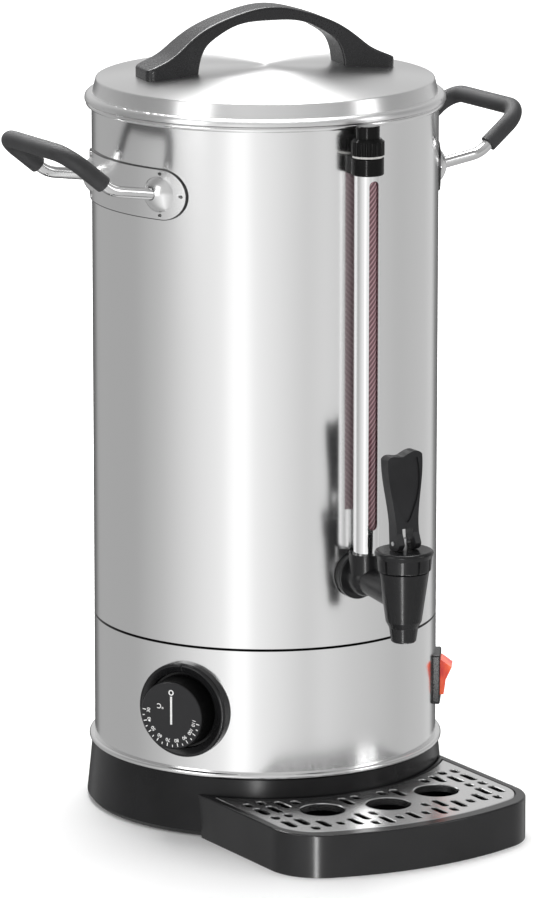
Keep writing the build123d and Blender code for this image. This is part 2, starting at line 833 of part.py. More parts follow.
gland_back = sqrt(body_radius**2 - gland_flange_radius**2) - body_radius
gland_nut_face = sqrt(body_inside**2 - (gland_nut_across / sqrt(3)) ** 2) - body_radius
with BuildPart() as cable_gland:
    with BuildSketch(gland_plane.offset(gland_back)):
        Circle(gland_flange_radius)
    extrude(amount=gland_flange_thickness - gland_back)
    with BuildSketch(Plane.XY.offset(gland_height - 2 * gland_flange_radius)):
        Circle(body_radius)
    extrude(amount=4 * gland_flange_radius, mode=Mode.SUBTRACT)
    with BuildSketch(gland_plane.offset(gland_flange_thickness)):
        Circle(gland_nose_radius)
    extrude(amount=gland_nose_length, taper=8)
    with BuildSketch(gland_plane.offset(gland_flange_thickness)):
        Circle(gland_shank_radius)
    extrude(amount=-gland_flange_thickness - sheet - gland_shank_length)
    with BuildSketch(gland_plane.offset(gland_flange_thickness + gland_nose_length)):
        Circle(gland_bore)
    extrude(
        amount=-gland_nose_length - gland_flange_thickness - sheet - gland_shank_length,
        mode=Mode.SUBTRACT,
    )
save(cable_gland, "cable_gland")

with BuildPart() as gland_nut:
    with BuildSketch(gland_plane.offset(gland_nut_face)):
        RegularPolygon(gland_nut_across / 2, 6, major_radius=False)
        Circle(gland_shank_radius, mode=Mode.SUBTRACT)
    extrude(amount=-gland_nut_height)
save(gland_nut, "gland_nut")

# ---------------------------------------------------------------- side handles
bracket_outside = body_radius + bracket_thickness
leg_side = body_radius * sin(radians(leg_spread))
leg_start = sqrt(bracket_outside**2 - leg_side**2)
leg_end = leg_start + leg_run
leg_end_level = handle_foot_level + leg_run * tan(radians(leg_slope))
grip_x = leg_end + grip_start * (crossbar_offset - leg_end)
grip_level = leg_end_level + grip_start * (crossbar_level - leg_end_level)
bracket_half_length = body_radius * sin(radians(bracket_half_angle))


def handle_route(side, points):
    """Points given as distance out, sideways and up, turned to the handle on one side."""
    return [(side * x, y, z) for x, y, z in points]


for name, side in (("left", -1), ("right", 1)):
    side_plane = Plane(origin=(0, 0, handle_foot_level), x_dir=(0, side, 0), z_dir=(side, 0, 0))
    boss_bearings = [side * 90 - leg_spread, side * 90 + leg_spread]
    rod_points = handle_route(
        side,
        [
            (leg_start - 2, -leg_side, handle_foot_level - 2 * tan(radians(leg_slope))),
            (leg_end, -leg_side, leg_end_level),
            (crossbar_offset, -leg_side, crossbar_level),
            (crossbar_offset, leg_side, crossbar_level),
            (leg_end, leg_side, leg_end_level),
            (leg_start - 2, leg_side, handle_foot_level - 2 * tan(radians(leg_slope))),
        ],
    )
    bends = (leg_bend_radius, corner_bend_radius, corner_bend_radius, leg_bend_radius)
    with BuildPart() as handle_rod:
        with BuildLine() as rod_path:
            FilletPolyline(*rod_points, radius=bends)
        with BuildSketch(Plane(origin=rod_path.line @ 0, z_dir=rod_path.line % 0)):
            Circle(handle_rod_radius)
        sweep()
        with BuildSketch(Plane.XY.offset(handle_foot_level - bracket_height)):
            Circle(bracket_outside)
        extrude(amount=2 * bracket_height, mode=Mode.SUBTRACT)
    save(handle_rod, f"handle_rod_{name}")

    grip_points = handle_route(
        side,
        [
            (grip_x, -leg_side, grip_level),
            (crossbar_offset, -leg_side, crossbar_level),
            (crossbar_offset, leg_side, crossbar_level),
            (grip_x, leg_side, grip_level),
        ],
    )
    with BuildPart() as handle_grip:
        with BuildLine() as grip_path:
            FilletPolyline(*grip_points, radius=corner_bend_radius)
        with BuildSketch(Plane(origin=grip_path.line @ 0, z_dir=grip_path.line % 0)):
            Circle(grip_radius)
            Circle(handle_rod_radius, mode=Mode.SUBTRACT)
        sweep()
    save(handle_grip, f"handle_grip_{name}")

    with BuildPart() as bracket_plate:
        with BuildSketch(side_plane):
            SlotOverall(2 * bracket_half_length, bracket_height)
        extrude(amount=2 * body_radius)
        with BuildSketch(Plane.XY.offset(handle_foot_level - bracket_height)):
            Circle(bracket_outside)
        extrude(amount=2 * bracket_height, mode=Mode.INTERSECT)
        for bearing in boss_bearings:
            for turn, rise in weld_places:
                with BuildSketch(outward_plane(bearing + turn, body_radius, handle_foot_level + rise)):
                    Circle(weld_radius)
                extrude(amount=bracket_thickness + weld_height)
        with BuildSketch(Plane.XY.offset(handle_foot_level - bracket_height)):
            Circle(body_radius)
        extrude(amount=2 * bracket_height, mode=Mode.SUBTRACT)

    leg_direction = Vector(side, 0, tan(radians(leg_slope)))
    with BuildPart() as handle_bracket:
        for bearing in boss_bearings:
            with BuildSketch(section_plane(bearing, body_radius, handle_foot_level)):
                with BuildLine():
                    Polyline((boss_height, 0), (-boss_sink, 0), (-boss_sink, boss_radius))
                    Line((-boss_sink, boss_radius), (boss_edge, boss_radius))
                    TangentArc((boss_height, 0), (boss_edge, boss_radius), tangent=(0, 1))
                make_face()
            boss_plane = outward_plane(bearing, body_radius, handle_foot_level)
            revolve(axis=Axis(boss_plane.origin, boss_plane.z_dir))
        for end in (-1, 1):
            leg_foot = (side * leg_start, end * leg_side, handle_foot_level)
            leg_plane = Plane(origin=leg_foot, x_dir=(0, 1, 0), z_dir=leg_direction)
            with BuildSketch(leg_plane.offset(-boss_radius)):
                Circle(handle_rod_radius + boss_clearance)
            extrude(amount=2 * boss_radius + leg_run, mode=Mode.SUBTRACT)
        add(bracket_plate.part)
        with BuildSketch(Plane.XY.offset(handle_foot_level - bracket_height)):
            Circle(body_radius)
        extrude(amount=2 * bracket_height, mode=Mode.SUBTRACT)
    save(handle_bracket, f"handle_bracket_{name}")


# ---------------------------------------------------------------- sight gauge
gauge_seal_bottom = gauge_bracket_bottom + gauge_bracket_height
cap_bottom = gauge_seal_bottom + gauge_seal_height
plug_bottom = cap_bottom + cap_height
glass_bottom = tap_height + shank_radius
glass_top = cap_bottom + cap_height / 2
shield_bottom = socket_top - socket_seat_depth
shield_top = gauge_bracket_bottom + 1.5
glass_seat = glass_radius + glass_clearance
gauge_axis = (0, -gauge_offset)

with BuildPart() as gauge_shield:
    with BuildSketch(Plane.XY.offset(shield_bottom)):
        with Locations(gauge_axis):
            Circle(shield_radius)
            Circle(shield_radius - shield_wall, mode=Mode.SUBTRACT)
    extrude(amount=shield_top - shield_bottom)
    with BuildSketch(outward_plane(0, gauge_offset, (slot_bottom + slot_top) / 2)):
        SlotOverall(slot_top - slot_bottom, slot_width, rotation=90)
    extrude(amount=shield_radius + 1, mode=Mode.SUBTRACT)
save(gauge_shield, "gauge_shield")

with BuildPart() as gauge_glass:
    with BuildSketch(Plane.XY.offset(glass_bottom)):
        with Locations(gauge_axis):
            Circle(glass_radius)
            Circle(glass_radius - glass_wall, mode=Mode.SUBTRACT)
    extrude(amount=glass_top - glass_bottom)
save(gauge_glass, "gauge_glass")

with BuildPart() as gauge_bracket:
    with BuildSketch(Plane.XY.offset(gauge_bracket_bottom)):
        with Locations(gauge_axis):
            Circle(gauge_bracket_radius)
        with Locations((0, -(gauge_offset + body_radius - 4) / 2)):
            Rectangle(gauge_arm_width, gauge_offset - body_radius + 4)
    extrude(amount=gauge_bracket_height)
    chamfer(gauge_bracket.edges().filter_by(GeomType.CIRCLE).filter_by(Plane.XY), 0.6)
    with BuildSketch(Plane.XY.offset(gauge_bracket_bottom)):
        Circle(body_radius)
    extrude(amount=gauge_bracket_height, mode=Mode.SUBTRACT)
    with BuildSketch(stud_plane.offset(body_radius - sheet - stud_length)):
        Circle(stud_radius)
    extrude(amount=stud_length + sheet + 2)
    with BuildSketch(Plane.XY.offset(gauge_bracket_bottom)):
        with Locations(gauge_axis):
            Circle(glass_seat)
    extrude(amount=gauge_bracket_height, mode=Mode.SUBTRACT)
    with BuildSketch(Plane.XY.offset(gauge_bracket_bottom)):
        with Locations(gauge_axis):
            Circle(shield_radius)
    extrude(amount=shield_top - gauge_bracket_bottom, mode=Mode.SUBTRACT)
save(gauge_bracket, "gauge_bracket")

gauge_nut_face = sqrt(body_inside**2 - (gauge_nut_across / sqrt(3)) ** 2)
with BuildPart() as gauge_wall_nut:
    with BuildSketch(stud_plane.offset(gauge_nut_face)):
        RegularPolygon(gauge_nut_across / 2, 6, major_radius=False)
        Circle(stud_radius, mode=Mode.SUBTRACT)
    extrude(amount=-gauge_nut_height)
save(gauge_wall_nut, "gauge_wall_nut")

with BuildPart() as gauge_cap_seal:
    with BuildSketch(Plane.XY.offset(gauge_seal_bottom)):
        with Locations(gauge_axis):
            Circle(gauge_seal_radius)
            Circle(glass_radius, mode=Mode.SUBTRACT)
    extrude(amount=gauge_seal_height)
save(gauge_cap_seal, "gauge_cap_seal")

with BuildPart() as gauge_cap:
    with BuildSketch(Plane.XY.offset(cap_bottom)):
        with Locations(gauge_axis):
            Circle(cap_radius)
            with PolarLocations(cap_radius + 0.3, cap_flutes):
                Circle(0.9, mode=Mode.SUBTRACT)
    extrude(amount=cap_height - 2)
    with BuildSketch(Plane.XY.offset(plug_bottom - 2)):
        with Locations(gauge_axis):
            Circle(cap_radius - 0.5)
    extrude(amount=2, taper=40)
    with BuildSketch(Plane.XY.offset(plug_bottom)):
        with Locations(gauge_axis):
            Circle(plug_radius)
    extrude(amount=plug_height)
    chamfer(gauge_cap.faces().sort_by(Axis.Z)[-1].edges(), 0.6)
    with BuildSketch(Plane.XY.offset(cap_bottom)):
        with Locations(gauge_axis):
            Circle(glass_seat)
    extrude(amount=glass_top - cap_bottom, mode=Mode.SUBTRACT)
save(gauge_cap, "gauge_cap")

# ---------------------------------------------------------------- tap
flange_back = body_radius + flange_seal_thickness
flange_front = flange_back + tap_flange_thickness
tap_axis = (0, -tap_offset)
arm_vector = Vector(0, -(tap_offset - gauge_offset), -arm_drop)
arm_plane = Plane(origin=(0, -gauge_offset, tap_height), x_dir=(1, 0, 0), z_dir=arm_vector)
cup_section = section_plane(0, tap_offset)

shank_end = body_inside - shank_length
tap_run = (0, 0, tap_height)
with BuildPart() as tap_body:
    with BuildSketch(Plane.XY.offset(tap_height)):
        with Locations(gauge_axis):
            Circle(socket_radius)
        with Locations((0, socket_radius - flange_back)):
            Rectangle(2 * socket_radius, 2 * socket_radius, mode=Mode.SUBTRACT)
    extrude(amount=socket_top - tap_height)
    with BuildSketch(section_plane(0, 0, tap_height)):
        with BuildLine():
            Polyline(
                (gauge_offset + hub_radius, 0),
                (shank_end, 0),
                (shank_end, shank_radius - 0.6),
                (shank_end + 0.6, shank_radius),
                (flange_back, shank_radius),
                (flange_back, tap_flange_radius),
                (flange_front - flange_round, tap_flange_radius),
            )
            TangentArc(
                (flange_front - flange_round, tap_flange_radius),
                (flange_front, tap_flange_radius - flange_round),
                tangent=(1, 0),
            )
            Polyline(
                (flange_front, tap_flange_radius - flange_round),
                (flange_front, hub_radius),
                (gauge_offset, hub_radius),
            )
            TangentArc(
                (gauge_offset, hub_radius),
                (gauge_offset + hub_radius, 0),
                tangent=(1, 0),
            )
        make_face()
    revolve(axis=Axis(tap_run, (0, -1, 0)))
    with BuildSketch(arm_plane.offset(arm_start)):
        Circle(arm_radius)
    extrude(amount=arm_vector.length - arm_start)
    with BuildSketch(cup_section):
        with BuildLine():
            Polyline(
                (0, spout_bottom),
                (spout_bottom_radius - 0.8, spout_bottom),
                (spout_bottom_radius, spout_bottom + 0.8),
                (spout_top_radius, spout_top),
                (cup_bottom_radius, cup_bottom),
                (cup_top_radius, cup_top - cup_groove),
                (cup_top_radius - cup_groove, cup_top),
                (0, cup_top),
                close=True,
            )
        make_face()
    revolve(axis=Axis((0, -tap_offset, 0), (0, 0, 1)))
    with BuildSketch(cup_section):
        with BuildLine():
            Polyline(
                (0, spout_bottom),
                (spout_bore, spout_bottom),
                (spout_bore, chamber_floor),
                (chamber_radius, chamber_floor),
                (chamber_radius, cup_top),
                (0, cup_top),
                close=True,
            )
        make_face()
    revolve(axis=Axis((0, -tap_offset, 0), (0, 0, 1)), mode=Mode.SUBTRACT)
    with BuildSketch(tap_plane.offset(shank_end)):
        Circle(shank_bore)
    extrude(amount=gauge_offset + arm_start - shank_end, mode=Mode.SUBTRACT)
    with BuildSketch(arm_plane):
        Circle(arm_bore)
    extrude(amount=arm_vector.length, mode=Mode.SUBTRACT)
    with BuildSketch(Plane.XY.offset(tap_height)):
        with Locations(gauge_axis):
            Circle(glass_radius - glass_wall)
    extrude(amount=socket_top - tap_height, mode=Mode.SUBTRACT)
    with BuildSketch(Plane.XY.offset(glass_bottom)):
        with Locations(gauge_axis):
            Circle(glass_seat)
    extrude(amount=socket_top - glass_bottom, mode=Mode.SUBTRACT)
    with BuildSketch(Plane.XY.offset(shield_bottom)):
        with Locations(gauge_axis):
            Circle(shield_radius)
    extrude(amount=socket_top - shield_bottom, mode=Mode.SUBTRACT)
save(tap_body, "tap_body")

tap_nut_face = sqrt(body_inside**2 - (tap_nut_across / sqrt(3)) ** 2)
with BuildPart() as tap_nut:
    with BuildSketch(tap_plane.offset(tap_nut_face)):
        RegularPolygon(tap_nut_across / 2, 6, major_radius=False)
        Circle(shank_radius, mode=Mode.SUBTRACT)
    extrude(amount=-tap_nut_height)
save(tap_nut, "tap_nut")

with BuildPart() as tap_flange_seal:
    with BuildSketch(tap_plane.offset(flange_back)):
        Circle(tap_flange_radius - 0.8)
        Circle(shank_radius, mode=Mode.SUBTRACT)
    extrude(amount=-flange_seal_thickness - 3)
    with BuildSketch(Plane.XY.offset(tap_height - tap_flange_radius)):
        Circle(body_radius)
    extrude(amount=2 * tap_flange_radius, mode=Mode.SUBTRACT)
save(tap_flange_seal, "tap_flange_seal")

stem_bore = stem_radius + stem_clearance
with BuildPart() as tap_bonnet:
    with BuildSketch(cup_section):
        with BuildLine():
            Polyline(
                (chamber_radius, cup_top),
                (bonnet_bottom_radius - 0.5, cup_top),
                (bonnet_bottom_radius, cup_top + 0.5),
                (bonnet_bottom_radius + 0.6, cup_top + bonnet_band),
                (bonnet_top_radius, bonnet_top - 2.2),
            )
            ThreePointArc(
                (bonnet_top_radius, bonnet_top - 2.2),
                (bonnet_top_radius - 0.6, bonnet_top - 0.7),
                (bonnet_top_radius - 2.2, bonnet_top),
            )
            Polyline(
                (bonnet_top_radius - 2.2, bonnet_top),
                (stem_bore, bonnet_top),
                (stem_bore, bonnet_top - bonnet_top_thickness),
                (chamber_radius - 1.8, bonnet_top - bonnet_top_thickness),
                (chamber_radius - 1.8, cup_top - bonnet_skirt),
                (chamber_radius, cup_top - bonnet_skirt),
                (chamber_radius, cup_top),
            )
        make_face()
    revolve(axis=Axis((0, -tap_offset, 0), (0, 0, 1)))
    with BuildSketch(Plane.XY.offset(cup_top)):
        with Locations(tap_axis):
            with PolarLocations(bonnet_bottom_radius, bonnet_notches, 360 / bonnet_notches / 2):
                Rectangle(notch_depth * 2, notch_width)
    extrude(amount=bonnet_band, mode=Mode.SUBTRACT)
save(tap_bonnet, "tap_bonnet")

stem_top = pin_level + pin_radius + 1.5
lever_plane = section_plane(0, tap_offset, pin_level)
seat_bottom = chamber_floor + body_clearance
with BuildPart() as tap_stem:
    with BuildSketch(Plane.XY.offset(seat_bottom + seat_height - 2)):
        with Locations(tap_axis):
            Circle(stem_radius)
    extrude(amount=stem_top - seat_bottom - seat_height + 2)
    with BuildSketch(Plane.XY.offset(seat_bottom + seat_height)):
        with Locations(tap_axis):
            Circle(seat_radius - 1.2)
    extrude(amount=1.5)
    with BuildSketch(lever_plane):
        Circle(pin_radius)
    extrude(amount=2 * stem_radius, both=True, mode=Mode.SUBTRACT)
save(tap_stem, "tap_stem")

with BuildPart() as tap_seat:
    with BuildSketch(cup_section):
        with BuildLine():
            Polyline(
                (0, seat_bottom),
                (seat_radius, seat_bottom),
                (seat_radius - 0.8, seat_bottom + seat_height),
                (stem_radius, seat_bottom + seat_height),
                (stem_radius, seat_bottom + seat_height - 2),
                (0, seat_bottom + seat_height - 2),
                close=True,
            )
        make_face()
    revolve(axis=Axis((0, -tap_offset, 0), (0, 0, 1)))
save(tap_seat, "tap_seat")

spring_bottom = seat_bottom + seat_height + 1.5
spring_top = bonnet_top - bonnet_top_thickness
spring_pitch = (spring_top - spring_bottom - 2 * spring_wire) / spring_turns
with BuildPart() as tap_spring:
    with BuildLine() as spring_path:
        spring_start = (0, -tap_offset, spring_bottom + spring_wire)
        Helix(spring_pitch, spring_pitch * spring_turns, spring_radius, center=spring_start)
    with BuildSketch(Plane(origin=spring_path.line @ 0, z_dir=spring_path.line % 0)):
        Circle(spring_wire)
    sweep(is_frenet=True)
save(tap_spring, "tap_spring")

pin_length = lever_leg_width + 1.0
with BuildPart() as lever_pin:
    with BuildSketch(lever_plane):
        Circle(pin_radius)
    extrude(amount=pin_length / 2, both=True)
save(lever_pin, "lever_pin")

cam_rest = pin_rise - body_clearance
cam_rise = valve_lift / radians(lever_swing)


def cam_point(swing):
    """Point of the lever's cam that touches the bonnet when the lever has swung this far."""
    angle = radians(swing)
    reach = cam_rest + cam_rise * angle
    outward = reach * sin(angle) + cam_rise * cos(angle)
    up = cam_rise * sin(angle) - reach * cos(angle)
    return (outward, up)


lever_front = outward_plane(0, tap_offset, pin_level)
leg_back = cam_rest
face_bottom = lever_fork_height + 1
front_bottom = (lever_depth * 0.55, face_bottom - 4)
front_middle = (lever_depth * 0.5 - lever_lean * 0.3, lever_height * 0.45)
front_top = (lever_depth * 0.75 - lever_lean, lever_height)
back_middle = (-lever_depth * 0.5 - lever_lean * 0.35, lever_height * 0.5)
back_top = (-lever_depth * 0.25 - lever_lean, lever_height)
half_leg = lever_leg_width / 2
half_top = lever_top_width / 2

with BuildPart() as thumb_recess:
    with BuildSketch(lever_plane.offset(-lever_top_width)):
        with BuildLine():
            Spline(*[(x - thumb_depth, y) for x, y in (front_bottom, front_middle, front_top)])
            Polyline(
                (front_top[0] - thumb_depth, lever_height),
                (2 * lever_depth, lever_height),
                (2 * lever_depth, front_bottom[1]),
                (front_bottom[0] - thumb_depth, front_bottom[1]),
            )
        make_face()
    extrude(amount=2 * lever_top_width)
    with BuildSketch(lever_front.offset(-2 * lever_depth)):
        with BuildLine():
            face_top = lever_height - thumb_border - 3.4
            face_half = half_top - thumb_border
            Spline(
                (face_half * 0.9, face_top + 1.6),
                (face_half * 0.2, face_top + 0.6),
                (-face_half * 0.5, face_top - 1.2),
                (-face_half, face_top - 2.0),
            )
            Spline(
                (-face_half, face_top - 2.0),
                (-face_half * 0.92, lever_height * 0.55),
                (-face_half * 0.45, lever_height * 0.34),
                (0, face_bottom + 3),
                (face_half * 0.45, lever_height * 0.34),
                (face_half * 0.92, lever_height * 0.55),
                (face_half * 0.9, face_top + 1.6),
            )
        make_face()
    extrude(amount=4 * lever_depth, mode=Mode.INTERSECT)

with BuildPart() as tap_lever:
    with BuildSketch(lever_plane.offset(-lever_top_width)):
        with BuildLine():
            Line((-leg_back + 1.5, -cam_rest), cam_point(0))
            Spline(*[cam_point(lever_swing * step / 5) for step in range(6)])
            Line(cam_point(lever_swing), front_bottom)
            Spline(front_bottom, front_middle, front_top)
            Line(front_top, back_top)
            Spline(back_top, back_middle, (-leg_back, 0))
            Line((-leg_back, 0), (-leg_back, -cam_rest + 1.5))
            Line((-leg_back, -cam_rest + 1.5), (-leg_back + 1.5, -cam_rest))
        make_face()
    extrude(amount=2 * lever_top_width)
    with BuildSketch(lever_front.offset(-2 * lever_depth)):
        with BuildLine():
            Polyline(
                (-half_leg * 1.0, lever_fork_height * 1.2),
                (-half_leg, -cam_rest - 1),
                (half_leg, -cam_rest - 1),
                (half_leg, lever_fork_height * 1.2),
            )
            Spline(
                (half_leg, lever_fork_height * 1.2),
                (half_leg * 1.2, lever_height * 0.45),
                (half_top * 0.98, lever_height * 0.75),
                (half_top, lever_height - 2.5),
            )
            Spline(
                (half_top, lever_height - 2.5),
                (half_top * 0.75, lever_height - 0.2),
                (half_top * 0.15, lever_height - 1.6),
                (-half_top * 0.15, lever_height - 3.2),
                (-half_top * 0.6, lever_height - 2.4),
                (-half_top, lever_height - 4.5),
            )
            Spline(
                (-half_top, lever_height - 4.5),
                (-half_top * 0.97, lever_height * 0.75),
                (-half_leg * 1.2, lever_height * 0.45),
                (-half_leg, lever_fork_height * 1.2),
            )
        make_face()
    extrude(amount=4 * lever_depth, mode=Mode.INTERSECT)
    with BuildSketch(lever_front.offset(-2 * lever_depth)):
        with Locations((0, (lever_fork_height - cam_rest - 2) / 2)):
            Rectangle(lever_fork_gap, lever_fork_height + cam_rest + 2)
    extrude(amount=4 * lever_depth, mode=Mode.SUBTRACT)
    with BuildSketch(lever_plane):
        Circle(pin_radius + pin_clearance)
    extrude(amount=lever_top_width, both=True, mode=Mode.SUBTRACT)
    add(thumb_recess.part, mode=Mode.SUBTRACT)
save(tap_lever, "tap_lever")

# ---------------------------------------------------------------- lid and its handle
lid_hem_inside = lid_radius - lid_rim_width
dome_middle = lid_crown - lid_dome / 4


def dome_level(distance):
    """Height of the lid's dome at a distance from the urn's axis."""
    return lid_crown - lid_dome * (distance / lid_top_radius) ** 2


turn = radians(handle_turn)
handle_direction = (cos(turn), sin(turn), 0)
handle_side_plane = Plane(origin=(0, 0, 0), x_dir=handle_direction, z_dir=(sin(turn), -cos(turn), 0))
handle_plan = Plane(origin=(0, 0, lid_flange_level), x_dir=handle_direction, z_dir=(0, 0, 1))

with BuildPart() as lid:
    with BuildSketch(Plane.XZ):
        with BuildLine():
            Polyline(
                (0, lid_crown),
                (0, lid_crown - sheet),
            )
            ThreePointArc(
                (0, lid_crown - sheet),
                (lid_top_radius / 2, dome_middle - sheet),
                (lid_top_radius - sheet, lid_edge_level - sheet),
            )
            Polyline(
                (lid_top_radius - sheet, lid_edge_level - sheet),
                (lid_plug_radius - sheet, lid_flange_level - sheet),
                (lid_plug_radius - sheet, mouth_level - lid_plug_depth),
                (lid_plug_radius, mouth_level - lid_plug_depth),
                (lid_plug_radius, lid_flange_level - sheet),
                (lid_hem_inside, lid_flange_level - sheet),
                (lid_hem_inside, lid_level),
                (lid_radius, lid_level),
                (lid_radius, lid_flange_level - lid_shoulder),
            )
            TangentArc(
                (lid_radius, lid_flange_level - lid_shoulder),
                (lid_radius - lid_shoulder, lid_flange_level),
                tangent=(0, 1),
            )
            Polyline(
                (lid_radius - lid_shoulder, lid_flange_level),
                (lid_step_radius, lid_flange_level),
                (lid_top_radius, lid_edge_level),
            )
            ThreePointArc(
                (lid_top_radius, lid_edge_level),
                (lid_top_radius / 2, dome_middle),
                (0, lid_crown),
            )
        make_face()
    revolve(axis=Axis.Z)
    with BuildSketch(handle_plan):
        with GridLocations(2 * handle_screw_offset, 1, 2, 1):
            Circle(handle_screw_radius + hole_clearance)
    extrude(amount=lid_crown, mode=Mode.SUBTRACT)
    lid_circles = lid.edges().filter_by(GeomType.CIRCLE)
    top_edge = lid_circles.filter_by(lambda edge: abs(edge.radius - lid_top_radius) < 0.1)
    fillet(top_edge, lid_edge_round)
save(lid, "lid")

screw_seat = dome_level(handle_screw_offset + handle_head_radius) - sheet
outer_shares = ((0, 1), (0.286, 0.885), (0.434, 0.775), (0.571, 0.63), (0.72, 0.39), (0.8, 0.255))
outer_half = [(handle_half_length * x, lid_crown + handle_rise * z) for x, z in outer_shares]
outer_half.append((handle_half_length * 0.88, lid_crown + handle_rise * 0.165))
outer_half.append((handle_half_length + 1, handle_tip_level))
inner_rise = handle_rise - handle_arch_thickness
inner_shares = ((0, 1), (0.466, 0.927), (0.729, 0.715), (0.891, 0.503), (0.972, 0.218))
inner_half = [(handle_arch_foot * x, lid_crown + inner_rise * z) for x, z in inner_shares]
inner_half.append((handle_arch_foot, lid_flange_level))
outer_arch = [(-x, z) for x, z in reversed(outer_half)] + outer_half[1:]
inner_arch = [(x, z) for x, z in reversed(inner_half)] + [(-x, z) for x, z in inner_half[1:]]
foot_shoulder = handle_half_length * 0.78
foot_side = handle_foot_width / 2
foot_end = foot_side - handle_foot_corner
waist_half = [(0, handle_width / 2), (handle_half_length * 0.33, handle_width / 2 + 0.3)]
waist_half.append((handle_half_length * 0.59, handle_width / 2 + 2.2))
waist_half.append((foot_shoulder, foot_side))
waist = [(-x, y) for x, y in reversed(waist_half)] + waist_half[1:]
straight = ((1, 0), (1, 0))

with BuildPart() as lid_handle:
    with BuildSketch(handle_side_plane.offset(-handle_foot_width)):
        with BuildLine():
            Spline(*outer_arch)
            Polyline(
                outer_arch[-1],
                (handle_half_length + 1, lid_flange_level),
                (handle_arch_foot, lid_flange_level),
            )
            Spline(*inner_arch)
            Polyline(
                (-handle_arch_foot, lid_flange_level),
                (-handle_half_length - 1, lid_flange_level),
                outer_arch[0],
            )
        make_face()
    extrude(amount=2 * handle_foot_width)
    with BuildSketch(handle_plan):
        with BuildLine():
            Spline(*waist, tangents=straight)
            Spline(*[(x, -y) for x, y in waist], tangents=straight)
            for end in (-1, 1):
                outer_corner = end * (handle_half_length - handle_foot_corner)
                for half in (-1, 1):
                    Line((end * foot_shoulder, half * foot_side), (outer_corner, half * foot_side))
                    TangentArc(
                        (outer_corner, half * foot_side),
                        (end * handle_half_length, half * foot_end),
                        tangent=(end, 0),
                    )
                Line((end * handle_half_length, -foot_end), (end * handle_half_length, foot_end))
        make_face()
    extrude(amount=handle_top, mode=Mode.INTERSECT)
    upper_edges = lid_handle.edges().filter_by(lambda edge: edge.bounding_box().max.Z > handle_top - 1)
    fillet(upper_edges, handle_round)
    inner_top = handle_top - handle_arch_thickness
    lower_edges = lid_handle.edges().filter_by(lambda edge: abs(edge.bounding_box().max.Z - inner_top) < 1)
    fillet(lower_edges, handle_inner_round)
    with BuildSketch(Plane.XZ):
        with BuildLine():
            Polyline((0, lid_crown), (0, 0), (lid_top_radius, 0), (lid_top_radius, lid_edge_level))
            ThreePointArc(
                (lid_top_radius, lid_edge_level),
                (lid_top_radius / 2, dome_middle),
                (0, lid_crown),
            )
        make_face()
    revolve(axis=Axis.Z, mode=Mode.SUBTRACT)
    with BuildSketch(handle_plan):
        with GridLocations(2 * handle_screw_offset, 1, 2, 1):
            Circle(handle_screw_radius)
    extrude(amount=screw_seat + handle_screw_length - lid_flange_level, mode=Mode.SUBTRACT)
save(lid_handle, "lid_handle")

with BuildPart() as lid_handle_screws:
    with BuildSketch(handle_plan.offset(screw_seat - lid_flange_level)):
        with GridLocations(2 * handle_screw_offset, 1, 2, 1):
            Circle(handle_head_radius)
    extrude(amount=-handle_head_height)
    with BuildSketch(handle_plan.offset(screw_seat - lid_flange_level)):
        with GridLocations(2 * handle_screw_offset, 1, 2, 1):
            Circle(handle_screw_radius)
    extrude(amount=handle_screw_length - 0.5)
save(lid_handle_screws, "lid_handle_screws")

# ---------------------------------------------------------------- drip tray and grille
base_wall_foot = rim_lift + base_edge
base_taper = (base_bottom_radius - base_edge / 8 - base_top_radius) / (
    base_height - seam_groove - base_wall_foot
)


def tray_rear(level):
    """Radius of the tray's rear face, which follows the base's tapered wall."""
    wall = base_bottom_radius - base_edge / 8 - base_taper * (level - base_wall_foot)
    return wall + tray_to_base


def tray_outline(half_width, front, rear, corner, rear_corner):
    """Plan face between two arcs about the urn's axis with straight sides and round corners."""
    with BuildSketch() as outline:
        Circle(front)
        with Locations((0, -front / 2)):
            Rectangle(2 * half_width, front, mode=Mode.INTERSECT)
        Circle(rear, mode=Mode.SUBTRACT)
        corners = outline.vertices().sort_by(Axis.Y)
        fillet(corners[:2], corner)
        fillet(corners[-2:], rear_corner)
    return outline.sketch


recess_floor = tray_height - grille_thickness - grille_clearance
recess_width = tray_half_width - tray_side_border
recess_front = tray_front_radius - tray_front_border
recess_rear = tray_rear(tray_height) + tray_rear_border
recess_corner = grille_corner + grille_clearance
pan_width = recess_width - tray_ledge
pan_front = recess_front - tray_ledge
pan_rear = tray_rear(0) + tray_wall
pan_corner = recess_corner - tray_ledge
skirt_width = tray_half_width - tray_wall
skirt_front = tray_front_radius - tray_wall
skirt_corner = tray_corner - tray_wall
skirt_inside = tray_outline(skirt_width, skirt_front, pan_rear + tray_wall, skirt_corner, pan_rear_corner)
pan_shell = (pan_width + tray_wall, pan_front + tray_wall, pan_rear - tray_wall, pan_corner + tray_wall)
pan_outside = tray_outline(*pan_shell, pan_rear_corner)
tray_rear_top = tray_rear(tray_height)
tray_top_outline = tray_outline(tray_half_width, tray_front_radius, tray_rear_top, tray_corner, tray_horn)

